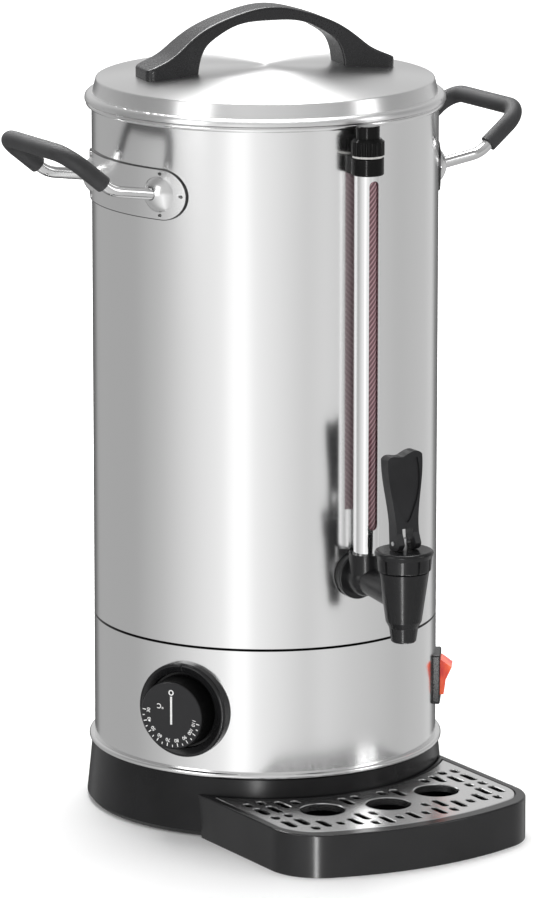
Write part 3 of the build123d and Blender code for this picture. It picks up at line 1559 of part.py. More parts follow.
with BuildPart() as drip_tray:
    with BuildSketch():
        add(tray_top_outline)
    extrude(amount=tray_height)
    fillet(drip_tray.faces().sort_by(Axis.Z)[-1].edges(), tray_edge)
    with BuildSketch(Plane.XZ):
        with BuildLine():
            Polyline((0, 0), (tray_rear(0), 0), (tray_rear_top, tray_height), (0, tray_height), close=True)
        make_face()
    revolve(axis=Axis.Z, mode=Mode.SUBTRACT)
    with BuildSketch(Plane.XY.offset(tray_height)):
        add(tray_outline(recess_width, recess_front, recess_rear, recess_corner, grille_rear_corner))
    extrude(amount=recess_floor - tray_height, mode=Mode.SUBTRACT)
    with BuildSketch(Plane.XY.offset(tray_floor)):
        add(tray_outline(pan_width, pan_front, pan_rear, pan_corner, pan_rear_corner))
    extrude(amount=tray_height - tray_floor, mode=Mode.SUBTRACT)
    with BuildSketch():
        add(skirt_inside)
        add(pan_outside, mode=Mode.SUBTRACT)
    extrude(amount=recess_floor - tray_wall, mode=Mode.SUBTRACT)
save(drip_tray, "drip_tray")

grille_width = recess_width - grille_clearance
grille_front = recess_front - grille_clearance
grille_rear = recess_rear + grille_clearance
slot_half = grille_slot_width / 2
side_hole = polar_point(glass_hole_turn, base_bottom_radius + glass_hole_reach)
front_hole = (0, -base_bottom_radius - glass_hole_reach - glass_hole_front)
glass_holes = ((-side_hole[0], side_hole[1]), front_hole, side_hole)
side_columns = int((grille_width - grille_margin - slot_half) / column_pitch)
corner_x = grille_width - grille_corner
corner_y = -sqrt((grille_front - grille_corner) ** 2 - corner_x**2)


def free_runs(column):
    """Lengths of a grille column, from front to rear, that are clear of the edge and of the glass holes."""
    outer = abs(column) + slot_half
    inner = max(abs(column) - slot_half, 0)
    low = -sqrt((grille_front - grille_margin) ** 2 - outer**2)
    if outer > corner_x:
        low = max(low, corner_y - sqrt((grille_corner - grille_margin) ** 2 - (outer - corner_x) ** 2))
    high = -sqrt((grille_rear + grille_margin) ** 2 - inner**2)
    high = min(high, -grille_rear + 4 * grille_margin) if outer > grille_width - grille_rear_corner else high
    runs = [(low, high)]
    for hole_x, hole_y in glass_holes:
        aside = max(abs(column - hole_x) - slot_half, 0)
        reach = glass_hole_radius + grille_margin
        if aside < reach:
            half = sqrt(reach**2 - aside**2)
            runs = [
                piece
                for start, end in runs
                for piece in ((start, min(end, hole_y - half)), (max(start, hole_y + half), end))
                if piece[1] > piece[0]
            ]
    return runs


def slots_in_run(start, end, long_first):
    """Centre and length of each slot in one free run, long and short in turn, centred in it."""
    pattern = (slot_long, slot_short) if long_first else (slot_short, slot_long)
    lengths = []
    used = 0
    while used + pattern[len(lengths) % 2] <= end - start:
        length = pattern[len(lengths) % 2]
        lengths.append(length)
        used = used + length + slot_gap
    place = (start + end - used + slot_gap) / 2
    slots = []
    for length in lengths:
        slots.append((place + length / 2, length))
        place = place + length + slot_gap
    return slots


with BuildPart() as drip_grille:
    with BuildSketch(Plane.XY.offset(tray_height - grille_thickness)):
        add(tray_outline(grille_width, grille_front, grille_rear, grille_corner, grille_rear_corner))
        with Locations(*glass_holes):
            Circle(glass_hole_radius, mode=Mode.SUBTRACT)
        for column in range(2 * side_columns + 1):
            column_x = (column - side_columns) * column_pitch
            for run_start, run_end in free_runs(column_x):
                for slot_y, slot_length in slots_in_run(run_start, run_end, column % 2 == 0):
                    with Locations((column_x, slot_y)):
                        SlotOverall(slot_length, grille_slot_width, rotation=90, mode=Mode.SUBTRACT)
    extrude(amount=grille_thickness)
    grille_top = drip_grille.faces().sort_by(Axis.Z)[-1]
    chamfer(grille_top.outer_wire().edges(), grille_bevel)
    grille_top = drip_grille.faces().sort_by(Axis.Z)[-1]
    chamfer([edge for wire in grille_top.inner_wires() for edge in wire.edges()], slot_bevel)
    with BuildSketch(Plane.XY.offset(tray_height - grille_thickness)):
        with Locations(*glass_holes):
            Circle(glass_hole_radius + hole_flange_wall)
            Circle(glass_hole_radius, mode=Mode.SUBTRACT)
    extrude(amount=-hole_flange_depth)
save(drip_grille, "drip_grille")
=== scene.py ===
import json
from math import cos, pi, radians, sin

import bmesh
import bpy
from mathutils import Matrix, Vector


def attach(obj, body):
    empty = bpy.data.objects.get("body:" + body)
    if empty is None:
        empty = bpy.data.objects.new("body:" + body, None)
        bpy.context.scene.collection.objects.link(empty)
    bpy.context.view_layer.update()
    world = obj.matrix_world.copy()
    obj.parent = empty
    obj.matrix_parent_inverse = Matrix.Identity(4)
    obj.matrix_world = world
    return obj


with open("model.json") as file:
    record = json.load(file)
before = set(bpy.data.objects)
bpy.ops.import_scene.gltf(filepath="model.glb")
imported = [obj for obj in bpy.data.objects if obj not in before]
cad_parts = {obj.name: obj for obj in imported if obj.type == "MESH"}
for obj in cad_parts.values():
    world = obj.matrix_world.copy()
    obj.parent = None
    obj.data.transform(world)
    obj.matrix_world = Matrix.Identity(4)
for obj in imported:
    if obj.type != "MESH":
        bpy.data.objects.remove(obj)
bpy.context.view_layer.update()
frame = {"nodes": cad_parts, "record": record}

# Lengths are in metres and bearings in degrees from the urn's front toward +X.
MM = 0.001

CAMERA_PLACE = (-2.1846, -3.5930, 1.1902)
CAMERA_TILT = 77.368             # degrees up from straight down
CAMERA_BEARING = -31.3
CAMERA_LENS = 247.26             # millimetres, on a sensor 36 mm wide
CAMERA_SHIFT = 0.0015

SEAM_LEVEL = 0.1334              # joint between the tank and the lower housing
SEAM_SHADE_REACH = 1.6 * MM
LID_TURN = 0.25                  # turns the lid's brushed glint a quarter
GRAIN_DEPTH = 0.2 * MM           # depth that a bump of full strength stands for

BRACKET_REACH = 0.0482           # from the urn's middle to the round end of a handle bracket
BRACKET_LEVEL = 0.446
BRACKET_END = 0.0175             # radius of its round end
SPOT_WELDS = ((0.0140, 0.0), (-0.0010, -0.0142), (-0.0010, 0.0142))
SPOT_REACH = 1.5 * MM
OUTLINE_START = 0.6 * MM         # where the bracket's edge falls on the ramp of a spot weld

GAUGE_OFFSET = 0.1326            # sight glass's axis, in front of the urn's
SPIRAL_STARTS = 14
SPIRAL_RISE = 0.0039             # from one stroke to the next up the glass
WINDOW_RADIUS = 0.00905          # just outside the shield
WINDOW_LEVELS = (0.228, 0.4623)
WINDOW_START = -46.0             # degrees about the glass, from straight behind it
WINDOW_STEP = 5.5
WINDOW_COLUMNS = 9

KNOB_BEARING = -58.7
KNOB_FACE = 0.1399               # knob's front face from the urn's axis
KNOB_HEIGHT = 0.0886
PRINT_LIFT = 0.05 * MM           # printed marks above the knob's face
PRINT_DEPTH = 0.03 * MM
PRINT_SPREAD = 0.02              # makes the strokes bolder, as a share of the letters' height
CAPITAL_SHARE = 0.70             # a capital's height in the font's size
SCALE_START = 276.0              # degrees clockwise from the top to the lowest number
SCALE_STEP = 21.9                # degrees from one number to the next
SCALE_TICKS = 17
SCALE_RADIUS = 22.2 * MM         # outer end of the ticks
NUMBER_RADIUS = 17.6 * MM
ZERO_UP = 16.1 * MM              # centre of the zero above the knob's centre

FLOOR_HALF = 14.0
FLOOR_SHADOW_REACH = 0.28        # the floor turns to the backdrop's white beyond this

BLACK = (0.009, 0.009, 0.0095)
WHITE = (1.0, 1.0, 1.0, 1.0)


# ---------------------------------------------------------------- camera
def make_camera():
    data = bpy.data.cameras.new("photo_camera")
    data.sensor_width = 36.0
    data.lens = CAMERA_LENS
    data.shift_x = CAMERA_SHIFT
    data.clip_start = 0.1
    data.clip_end = 60.0
    camera = bpy.data.objects.new("photo_camera", data)
    camera.location = CAMERA_PLACE
    camera.rotation_euler = (radians(CAMERA_TILT), 0.0, radians(CAMERA_BEARING))
    bpy.context.collection.objects.link(camera)
    bpy.context.scene.camera = camera


# ---------------------------------------------------------------- node helpers
class Wiring:
    """Short calls that add nodes to a node tree and wire them."""

    def __init__(self, tree):
        self.nodes = tree.nodes
        self.links = tree.links

    def feed(self, socket, value):
        """Gives a socket a plain value, or links it to another node's output."""
        if isinstance(value, bpy.types.NodeSocket):
            self.links.new(value, socket)
        else:
            socket.default_value = value

    def split(self, vector):
        node = self.nodes.new("ShaderNodeSeparateXYZ")
        self.links.new(vector, node.inputs[0])
        return node.outputs["X"], node.outputs["Y"], node.outputs["Z"]

    def math(self, operation, *values):
        node = self.nodes.new("ShaderNodeMath")
        node.operation = operation
        for socket, value in zip(node.inputs, values):
            self.feed(socket, value)
        return node.outputs[0]

    def length(self, across, up):
        """Length of a step across and up."""
        squares = self.math("MULTIPLY_ADD", up, up, self.math("MULTIPLY", across, across))
        return self.math("SQRT", squares)

    def spread(self, value, low, high, start=0.0, end=1.0):
        """A value between start and end, mapped onto low to high."""
        node = self.nodes.new("ShaderNodeMapRange")
        node.inputs["From Min"].default_value = start
        node.inputs["From Max"].default_value = end
        node.inputs["To Min"].default_value = low
        node.inputs["To Max"].default_value = high
        self.links.new(value, node.inputs["Value"])
        return node.outputs["Result"]

    def ramp(self, value, stops):
        node = self.nodes.new("ShaderNodeValToRGB")
        points = node.color_ramp.elements
        while len(points) < len(stops):
            points.new(0.5)
        for point, (position, color) in zip(points, stops):
            point.position = position
            point.color = (*color, 1.0)
        self.links.new(value, node.inputs["Fac"])
        return node.outputs["Color"]

    def blend(self, share, first, second, mode="MIX"):
        """Two colours, blended by a share of the second."""
        node = self.nodes.new("ShaderNodeMix")
        node.data_type = "RGBA"
        node.blend_type = mode
        self.feed(node.inputs["Factor"], share)
        self.feed(node.inputs["A"], first)
        self.feed(node.inputs["B"], second)
        return node.outputs["Result"]


class Shader(Wiring):
    """A node material with one Principled shader."""

    def __init__(self, name, color, roughness, metallic=0.0):
        self.material = bpy.data.materials.new(name)
        self.material.use_nodes = True
        super().__init__(self.material.node_tree)
        self.surface = self.nodes["Principled BSDF"]
        self.set("Base Color", (*color, 1.0))
        self.set("Roughness", roughness)
        self.set("Metallic", metallic)
        self.place = self.nodes.new("ShaderNodeTexCoord").outputs["Object"]

    def set(self, name, value):
        """Feeds one of the Principled shader's own sockets."""
        self.feed(self.surface.inputs[name], value)

    def stretched(self, scale):
        """Object coordinates scaled along each axis."""
        mapping = self.nodes.new("ShaderNodeMapping")
        mapping.inputs["Scale"].default_value = scale
        self.links.new(self.place, mapping.inputs["Vector"])
        return mapping.outputs["Vector"]

    def noise(self, vector, scale, detail=3.0, roughness=0.5):
        texture = self.nodes.new("ShaderNodeTexNoise")
        texture.inputs["Scale"].default_value = scale
        texture.inputs["Detail"].default_value = detail
        texture.inputs["Roughness"].default_value = roughness
        self.links.new(vector, texture.inputs["Vector"])
        return texture.outputs["Fac"]

    def mottle(self, value, color, darker, lighter):
        """Base colour that wanders between a darker and a lighter share of itself."""
        stops = ((0.3, tinted(color, darker)), (0.7, tinted(color, lighter)))
        self.set("Base Color", self.ramp(value, stops))

    def bump(self, height, strength):
        node = self.nodes.new("ShaderNodeBump")
        node.inputs["Strength"].default_value = strength
        node.inputs["Distance"].default_value = GRAIN_DEPTH
        self.links.new(height, node.inputs["Height"])
        self.set("Normal", node.outputs["Normal"])

    def radius(self):
        """Distance from the urn's axis."""
        x, y, _ = self.split(self.place)
        return self.length(x, y)


def grey(level):
    return (level, level, level)


def tinted(color, share):
    return tuple(channel * share for channel in color)


def knob_directions():
    """Unit vectors sideways over the knob's face and out of it."""
    bearing = radians(KNOB_BEARING)
    return Vector((cos(bearing), sin(bearing), 0.0)), Vector((sin(bearing), -cos(bearing), 0.0))


# ---------------------------------------------------------------- materials
def rolled_steel(name, color, roughness):
    """Near-mirror stainless sheet with a faint horizontal grain, soft smudges and a painted shade
    line at the joint between tank and lower housing.
    """
    shader = Shader(name, color, roughness, 1.0)
    grain = shader.noise(shader.stretched((1.0, 1.0, 90.0)), 26.0, 4.0, 0.6)
    smudge = shader.noise(shader.place, 14.0, 4.0, 0.6)
    mixed = shader.math("MULTIPLY_ADD", smudge, 0.5, shader.math("MULTIPLY", grain, 0.5))
    shader.set("Roughness", shader.spread(mixed, roughness * 0.75, roughness * 1.35))
    shader.bump(grain, 0.035)
    # Painted shade: the steel turns near black in a thin band at the joint between the tank and the
    # lower housing.
    _, _, level = shader.split(shader.place)
    from_seam = shader.math("ABSOLUTE", shader.math("SUBTRACT", level, SEAM_LEVEL))
    seam = shader.math("DIVIDE", from_seam, SEAM_SHADE_REACH)
    shader.set("Base Color", shader.ramp(seam, ((0.5, grey(0.02)), (0.62, color))))
    return shader.material


def ring_steel(name, color, roughness):
    """Stainless sheet brushed in rings about the urn's axis."""
    shader = Shader(name, color, roughness, 1.0)
    rings = shader.nodes.new("ShaderNodeCombineXYZ")
    shader.feed(rings.inputs["X"], shader.radius())
    grain = shader.noise(rings.outputs[0], 1500.0, 3.0, 0.7)
    smudge = shader.noise(shader.place, 18.0, 3.0, 0.5)
    mixed = shader.math("MULTIPLY_ADD", smudge, 0.3, shader.math("MULTIPLY", grain, 0.7))
    shader.set("Roughness", shader.spread(mixed, roughness * 0.8, roughness * 1.3))
    shader.bump(grain, 0.06)
    shader.set("Anisotropic", 0.85)
    shader.set("Anisotropic Rotation", LID_TURN)
    tangent = shader.nodes.new("ShaderNodeTangent")
    tangent.direction_type = "RADIAL"
    tangent.axis = "Z"
    shader.set("Tangent", tangent.outputs[0])
    return shader.material


def metal_shader(name, color, roughness):
    """Metal with a fine even grain."""
    shader = Shader(name, color, roughness, 1.0)
    grain = shader.noise(shader.place, 420.0, 3.0, 0.6)
    shader.set("Roughness", shader.spread(grain, roughness * 0.8, roughness * 1.25))
    shader.bump(grain, 0.05)
    return shader


def plain_metal(name, color, roughness):
    return metal_shader(name, color, roughness).material


def welded_steel(name, color, roughness):
    """Steel of the handle brackets, with their dark outline and the marks of their spot welds."""
    shader = metal_shader(name, color, roughness)
    _, y, z = shader.split(shader.place)
    along = shader.math("SUBTRACT", shader.math("ABSOLUTE", y), BRACKET_REACH)
    up = shader.math("SUBTRACT", z, BRACKET_LEVEL)
    from_middle = shader.length(shader.math("MAXIMUM", along, 0.0), up)
    from_edge = shader.math("MAXIMUM", shader.math("SUBTRACT", BRACKET_END, from_middle), 0.0)
    nearest = shader.math("ADD", from_edge, OUTLINE_START)
    for across, rise in SPOT_WELDS:
        side = shader.math("SUBTRACT", along, across)
        lift = shader.math("SUBTRACT", up, rise)
        nearest = shader.math("MINIMUM", nearest, shader.length(side, lift))
    spot = shader.math("DIVIDE", nearest, SPOT_REACH)
    stops = ((0.2, grey(0.40)), (0.4, grey(0.06)), (0.65, grey(0.06)), (0.85, color))
    shader.set("Base Color", shader.ramp(spot, stops))
    return shader.material


def moulded_plastic(name, color, roughness, texture_scale=900.0, texture=0.06, specular=0.42):
    """Moulded plastic with a slight skin texture and a little colour variation."""
    shader = Shader(name, color, roughness)
    shader.set("Specular IOR Level", specular)
    skin = shader.noise(shader.place, texture_scale, 3.0, 0.55)
    broad = shader.noise(shader.place, 30.0, 2.0, 0.5)
    shader.mottle(broad, color, 0.8, 1.25)
    shader.set("Roughness", shader.spread(skin, roughness * 0.8, roughness * 1.2))
    shader.bump(skin, texture)
    return shader.material


def dial_plastic(name):
    """The knob's plastic: satin on the printed face, with a painted shade on its flank that makes
    it deep black and dull.
    """
    shader = Shader(name, (0.014, 0.014, 0.015), 0.34)
    _, outward = knob_directions()
    along = shader.nodes.new("ShaderNodeVectorMath")
    along.operation = "DOT_PRODUCT"
    along.inputs[1].default_value = outward
    shader.feed(along.inputs[0], shader.place)
    # 1 on the face, and 0 from one millimetre behind it
    depth = shader.math("MULTIPLY_ADD", along.outputs["Value"], 1.0 / MM, 1.0 - KNOB_FACE / MM)
    # Painted shade: the flank gets a darker colour and less specular than the face of the same
    # plastic.
    stops = ((0.1, grey(0.002)), (0.8, (0.016, 0.016, 0.017)))
    shader.set("Base Color", shader.ramp(depth, stops))
    shader.set("Specular IOR Level", shader.spread(depth, 0.03, 0.26))
    skin = shader.noise(shader.place, 1000.0, 3.0, 0.55)
    shader.bump(skin, 0.06)
    return shader.material


def soft_rubber(name, color):
    shader = Shader(name, color, 0.7)
    skin = shader.noise(shader.place, 1400.0, 2.0, 0.5)
    shader.mottle(skin, color, 0.85, 1.15)
    shader.bump(skin, 0.15)
    return shader.material


def lit_rocker(name):
    """Translucent red rocker with the lamp glowing through it."""
    shader = Shader(name, (0.80, 0.06, 0.02), 0.18)
    glow = shader.noise(shader.stretched((1.0, 1.0, 0.6)), 90.0, 2.0, 0.5)
    stops = ((0.32, (0.70, 0.02, 0.01)), (0.56, (1.0, 0.12, 0.03)), (0.72, (1.0, 0.36, 0.16)))
    hot = shader.ramp(glow, stops)
    shader.set("Base Color", hot)
    shader.set("Emission Color", hot)
    shader.set("Emission Strength", 0.24)
    shader.set("Coat Weight", 0.5)
    return shader.material


def spiral_glass(name, deep, middle, bright, fading):
    """Sight glass with the fine wine-red spiral strokes that show the water level."""
    shader = Shader(name, middle, 0.16)
    x, y, z = shader.split(shader.place)
    angle = shader.math("ARCTAN2", x, shader.math("ADD", y, GAUGE_OFFSET))
    turn = shader.math("MULTIPLY", angle, SPIRAL_STARTS / (2 * pi))
    rise = shader.math("MULTIPLY", z, 1.0 / SPIRAL_RISE)
    strokes = shader.math("FRACT", shader.math("ADD", turn, rise))
    stops = ((0.0, deep), (0.42, middle), (0.62, bright), (0.80, fading), (1.0, deep))
    shader.set("Base Color", shader.ramp(strokes, stops))
    shader.set("Coat Weight", 0.5)
    return shader.material


def wine_glass():
    """The sight glass itself."""
    strokes = ((0.10, 0.045, 0.052), (0.16, 0.07, 0.085), (0.42, 0.25, 0.28), (0.30, 0.16, 0.18))
    return spiral_glass("gauge_glass", *strokes)


def pale_glass():
    """The glass as it is seen through the rear of its shield: its own colours with painted light,
    paler and with fainter strokes.
    """
    strokes = ((0.24, 0.165, 0.18), (0.27, 0.19, 0.205), (0.36, 0.27, 0.285), (0.31, 0.23, 0.245))
    return spiral_glass("gauge_glimpse", *strokes)


def white_print(name):
    shader = Shader(name, (0.86, 0.86, 0.84), 0.5)
    wear = shader.noise(shader.place, 1200.0, 2.0, 0.5)
    stops = ((0.2, (0.74, 0.74, 0.73)), (0.6, (0.88, 0.88, 0.87)))
    shader.set("Base Color", shader.ramp(wear, stops))
    return shader.material


def make_materials():
    """One material for each slot of the record."""
    satin_black = (0.011, 0.011, 0.012)
    grip_black = (0.021, 0.021, 0.022)
    return {
        "body_steel": rolled_steel("body_steel", grey(0.88), 0.17),
        "bracket_steel": welded_steel("bracket_steel", grey(0.84), 0.24),
        "lid_steel": ring_steel("lid_steel", grey(0.84), 0.30),
        "base_plastic": moulded_plastic("base_plastic", BLACK, 0.22, specular=0.22),
        "tray_plastic": moulded_plastic("tray_plastic", BLACK, 0.20),
        "grille_steel": plain_metal("grille_steel", grey(0.80), 0.22),
        "tap_plastic": moulded_plastic("tap_plastic", BLACK, 0.22, specular=0.28),
        "lever_plastic": moulded_plastic("lever_plastic", satin_black, 0.34, 1200.0, 0.1, 0.26),
        "handle_plastic": moulded_plastic("handle_plastic", satin_black, 0.28, 1100.0, 0.1),
        "grip_plastic": moulded_plastic("grip_plastic", grip_black, 0.60, 1100.0, 0.16),
        "rod_steel": plain_metal("rod_steel", grey(0.76), 0.11),
        "knob_plastic": dial_plastic("knob_plastic"),
        "bezel_plastic": moulded_plastic("bezel_plastic", BLACK, 0.22, specular=0.30),
        "switch_plastic": moulded_plastic("switch_plastic", BLACK, 0.28),
        "rocker_red": lit_rocker("rocker_red"),
        "shield_steel": plain_metal("shield_steel", grey(0.90), 0.08),
        "gauge_glass": wine_glass(),
        "gauge_black": moulded_plastic("gauge_black", grey(0.004), 0.16, specular=0.12),
        "seal_white": soft_rubber("seal_white", (0.70, 0.69, 0.67)),
        "black_rubber": soft_rubber("black_rubber", grey(0.02)),
        "plain_steel": plain_metal("plain_steel", (0.66, 0.66, 0.67), 0.32),
        "spreader_aluminium": plain_metal("spreader_aluminium", (0.75, 0.75, 0.76), 0.45),
        "element_metal": plain_metal("element_metal", (0.38, 0.36, 0.34), 0.42),
        "thermostat_plastic": moulded_plastic("thermostat_plastic", (0.07, 0.06, 0.055), 0.6),
        "copper_tube": plain_metal("copper_tube", (0.78, 0.45, 0.32), 0.28),
        "terminal_white": moulded_plastic("terminal_white", (0.70, 0.68, 0.62), 0.5),
        "spring_steel": plain_metal("spring_steel", (0.70, 0.70, 0.72), 0.22),
    }


def dress_nodes(materials):
    """Gives every CAD node the material of its slot in the record."""
    for entry in frame["record"]["subparts"]:
        node = frame["nodes"][entry["node"]]
        node.data.materials.clear()
        node.data.materials.append(materials[entry["material_slot"]])


# ---------------------------------------------------------------- added pieces
def add_mesh(name, shape, material):
    """A new object from a finished bmesh."""
    mesh = bpy.data.meshes.new(name)
    shape.to_mesh(mesh)
    shape.free()
    mesh.materials.append(material)
    piece = bpy.data.objects.new(name, mesh)
    bpy.context.collection.objects.link(piece)
    return piece


def make_rear_window(material):
    """The sight glass seen through the open rear of its shield."""
    window = bmesh.new()
    columns = []
    for step in range(WINDOW_COLUMNS):
        angle = radians(WINDOW_START + WINDOW_STEP * step)
        x, y = WINDOW_RADIUS * sin(angle), -GAUGE_OFFSET + WINDOW_RADIUS * cos(angle)
        columns.append([window.verts.new((x, y, level)) for level in WINDOW_LEVELS])
    for left, right in zip(columns, columns[1:]):
        window.faces.new((left[0], left[1], right[1], right[0]))
    piece = add_mesh("rear_window", window, material)
    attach(piece, "urn")


def knob_matrix(across, up, turn=0.0):
    """Placement on the knob's face: across and up from its centre, turned clockwise."""
    sideways, outward = knob_directions()
    upward = Vector((0.0, 0.0, 1.0))
    centre = outward * KNOB_FACE + upward * KNOB_HEIGHT
    place = Matrix.Translation(centre + sideways * across + upward * up)
    axes = Matrix((sideways, upward, outward)).transposed().to_4x4()
    return place @ axes @ Matrix.Rotation(-turn, 4, "Z")


def add_text(name, words, height, matrix, material):
    curve = bpy.data.curves.new(name, "FONT")
    curve.body = words
    curve.size = height / CAPITAL_SHARE
    curve.align_x = "CENTER"
    curve.align_y = "CENTER"
    curve.extrude = PRINT_DEPTH
    curve.offset = PRINT_SPREAD * height
    curve.materials.append(material)
    text = bpy.data.objects.new(name, curve)
    text.matrix_world = matrix
    bpy.context.collection.objects.link(text)
    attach(text, "knob")


def add_bar(marks, up, width, height, turn=0.0):
    """A flat bar with its middle this far up from the knob's centre, turned about that centre."""
    matrix = knob_matrix(0.0, 0.0, turn)
    points = []
    for x, y in ((-0.5, -0.5), (0.5, -0.5), (0.5, 0.5), (-0.5, 0.5)):
        corner = Vector((x * width, up + y * height, PRINT_LIFT))
        points.append(marks.verts.new(matrix @ corner))
    marks.faces.new(points)


def add_ring(marks, up, inner, outer, sides=32):
    """A flat ring this far up from the knob's centre."""
    matrix = knob_matrix(0.0, up)
    turns = [2 * pi * side / sides for side in range(sides)]
    loops = []
    for radius in (inner, outer):
        points = [Vector((radius * cos(turn), radius * sin(turn), PRINT_LIFT)) for turn in turns]
        loops.append([marks.verts.new(matrix @ point) for point in points])
    for side in range(sides):
        after = (side + 1) % sides
        marks.faces.new((loops[0][side], loops[1][side], loops[1][after], loops[0][after]))


def make_dial(material):
    """The knob's printed pointer, scale and numbers."""
    marks = bmesh.new()
    add_bar(marks, 3.5 * MM, 1.5 * MM, 19.8 * MM)
    for tick in range(SCALE_TICKS):
        length = (2.5 if tick % 2 == 0 else 1.6) * MM
        angle = radians(SCALE_START - tick * SCALE_STEP / 2)
        add_bar(marks, SCALE_RADIUS - length / 2, 0.62 * MM, length, angle)
    add_ring(marks, ZERO_UP, 1.15 * MM, 2.0 * MM)
    piece = add_mesh("dial_marks", marks, material)
    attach(piece, "knob")
    add_text("dial_unit", "°C", 3.4 * MM, knob_matrix(-8.4 * MM, 5.9 * MM, pi), material)
    for index, number in enumerate(range(30, 120, 10)):
        angle = radians(SCALE_START - index * SCALE_STEP)
        place = knob_matrix(NUMBER_RADIUS * sin(angle), NUMBER_RADIUS * cos(angle), angle)
        add_text(f"dial_number_{number}", str(number), 2.4 * MM, place, material)


# ---------------------------------------------------------------- floor
def make_floor():
    """White floor, not mirrored in the urn's steel, with a soft shadow near the urn: partly
    rendered, partly a painted shade.
    """
    half = FLOOR_HALF
    corners = [(-half, -half, 0), (half, -half, 0), (half, half, 0), (-half, half, 0)]
    mesh = bpy.data.meshes.new("floor")
    mesh.from_pydata(corners, [], [(0, 1, 2, 3)])
    shader = Shader("floor", grey(0.90), 0.6)
    grain = shader.noise(shader.place, 3.0, 2.0, 0.5)
    shader.set("Base Color", shader.ramp(grain, ((0.3, grey(0.89)), (0.7, grey(0.91)))))
    path = shader.nodes.new("ShaderNodeLightPath")
    # Painted shade: for camera rays an emission lifts the floor to white away from the urn, and
    # this lift falls to almost nothing near it, so the floor round the urn is darker than its
    # rendered shadow alone makes it.
    far = shader.math("SUBTRACT", shader.radius(), FLOOR_SHADOW_REACH)
    far = shader.math("MULTIPLY", far, 1.5)
    glow = shader.math("MINIMUM", shader.math("MAXIMUM", far, 0.03), 0.8)
    shader.set("Emission Color", WHITE)
    shader.set("Emission Strength", shader.math("MULTIPLY", path.outputs["Is Camera Ray"], glow))
    clear = shader.nodes.new("ShaderNodeBsdfTransparent")
    mix = shader.nodes.new("ShaderNodeMixShader")
    shader.feed(mix.inputs["Fac"], path.outputs["Is Glossy Ray"])
    shader.feed(mix.inputs[1], shader.surface.outputs[0])
    shader.feed(mix.inputs[2], clear.outputs[0])
    shader.feed(shader.nodes["Material Output"].inputs["Surface"], mix.outputs[0])
    mesh.materials.append(shader.material)
    floor = bpy.data.objects.new("floor", mesh)
    bpy.context.collection.objects.link(floor)


# ---------------------------------------------------------------- light
# Brightness of the studio as the metal sees it, at a bearing in degrees from the camera.
STUDIO_BANDS = (
    (-180, 0.05),
    (-166, 0.12),
    (-158, 0.17),
    (-150, 0.42),
    (-96, 0.42),
    (-74, 0.54),
    (-44, 0.82),
    (-28, 0.95),
    (-21, 1.20),
    (-12, 1.20),
    (-8, 0.98),
    (16, 0.78),
    (28, 0.68),
    (40, 0.75),
    (60, 0.65),
    (100, 0.52),
    (134, 0.58),
    (148, 0.70),
    (156, 0.20),
    (180, 0.05),
)

# Slots whose pieces show the highlights of the strip lamps.
GLOSSY_SLOTS = (
    "base_plastic",
    "tray_plastic",
    "tap_plastic",
    "lever_plastic",
    "handle_plastic",
    "grip_plastic",
    "knob_plastic",
    "bezel_plastic",
    "switch_plastic",
    "gauge_black",
)


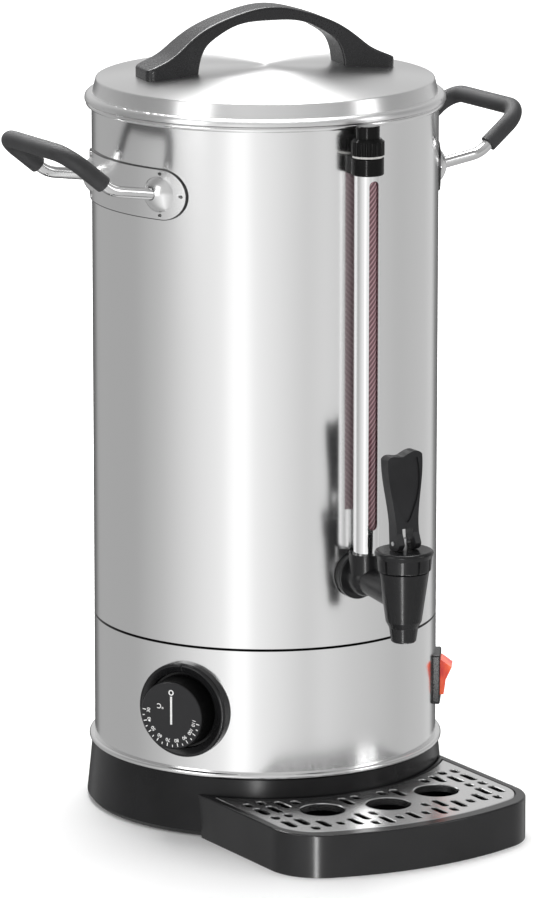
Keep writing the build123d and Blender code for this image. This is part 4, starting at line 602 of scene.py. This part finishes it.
def make_world():
    """Studio of upright bands for the steel, a plain grey for other light, white for the camera."""
    world = bpy.data.worlds.new("studio")
    bpy.context.scene.world = world
    world.use_nodes = True
    sky = Wiring(world.node_tree)
    turned = sky.nodes.new("ShaderNodeVectorRotate")
    turned.rotation_type = "Z_AXIS"
    turned.inputs["Angle"].default_value = -radians(CAMERA_BEARING)
    sky.feed(turned.inputs["Vector"], sky.nodes.new("ShaderNodeTexCoord").outputs["Generated"])
    x, y, z = sky.split(turned.outputs[0])
    bearing = sky.math("ARCTAN2", x, sky.math("MULTIPLY", y, -1.0))
    # A ramp's colours end at 1, so it holds half of each level and is added to itself.
    stops = [((degrees + 180) / 360, grey(level / 2)) for degrees, level in STUDIO_BANDS]
    half = sky.ramp(sky.spread(bearing, 0.0, 1.0, -pi, pi), stops)
    bands = sky.blend(1.0, half, half, "ADD")
    wave = sky.math("COSINE", sky.math("MULTIPLY", bearing, 2.0))
    overhead = sky.spread(wave, 0.31, 0.63, -1.0, 1.0)
    mirrored = sky.blend(sky.spread(z, 0.0, 1.0, -0.02, 0.10), bands, overhead)
    path = sky.nodes.new("ShaderNodeLightPath")
    lit = sky.blend(path.outputs["Is Glossy Ray"], (0.72, 0.72, 0.72, 1.0), mirrored)
    backdrop = sky.blend(path.outputs["Is Camera Ray"], lit, WHITE)
    sky.feed(sky.nodes["Background"].inputs["Color"], backdrop)


def add_softbox(name, place, target, width, height, power):
    lamp = bpy.data.lights.new(name, "AREA")
    lamp.shape = "RECTANGLE"
    lamp.size = width
    lamp.size_y = height
    lamp.energy = power
    box = bpy.data.objects.new(name, lamp)
    box.location = place
    box.rotation_euler = (Vector(target) - Vector(place)).to_track_quat("-Z", "Y").to_euler()
    bpy.context.collection.objects.link(box)
    return box


def make_strips():
    """Lamps that only put their highlights on the glossy black plastics."""
    receivers = bpy.data.collections.new("glossy_plastics")
    for entry in frame["record"]["subparts"]:
        if entry["material_slot"] in GLOSSY_SLOTS:
            receivers.objects.link(frame["nodes"][entry["node"]])
    bearing = radians(CAMERA_BEARING - 5.0)
    front = Vector((sin(bearing), -cos(bearing), 0.0)) * 1.7 + Vector((0.0, 0.0, -0.30))
    strips = (
        add_softbox("front_strip", front, (0.0, -0.1, 0.1), 0.14, 1.3, 12.0),
        add_softbox("high_strip", (-0.2, 0.9, 1.5), (0.0, 0.0, 0.4), 1.2, 0.3, 20.0),
    )
    for strip in strips:
        strip.light_linking.receiver_collection = receivers
        strip.light_linking.blocker_collection = receivers


def make_light():
    make_world()
    make_strips()
    middle = (0.0, -0.05, 0.28)
    add_softbox("top_box", (0.35, 0.55, 2.6), middle, 1.4, 1.4, 70.0)
    add_softbox("left_box", (-2.2, -0.4, 1.0), middle, 0.9, 1.6, 9.0)
    add_softbox("right_box", (1.6, -1.9, 1.2), middle, 0.7, 1.4, 7.0)
    bpy.context.scene.view_settings.view_transform = "Standard"


make_camera()
dress_nodes(make_materials())
make_dial(white_print("white_print"))
make_rear_window(pale_glass())
make_floor()
make_light()
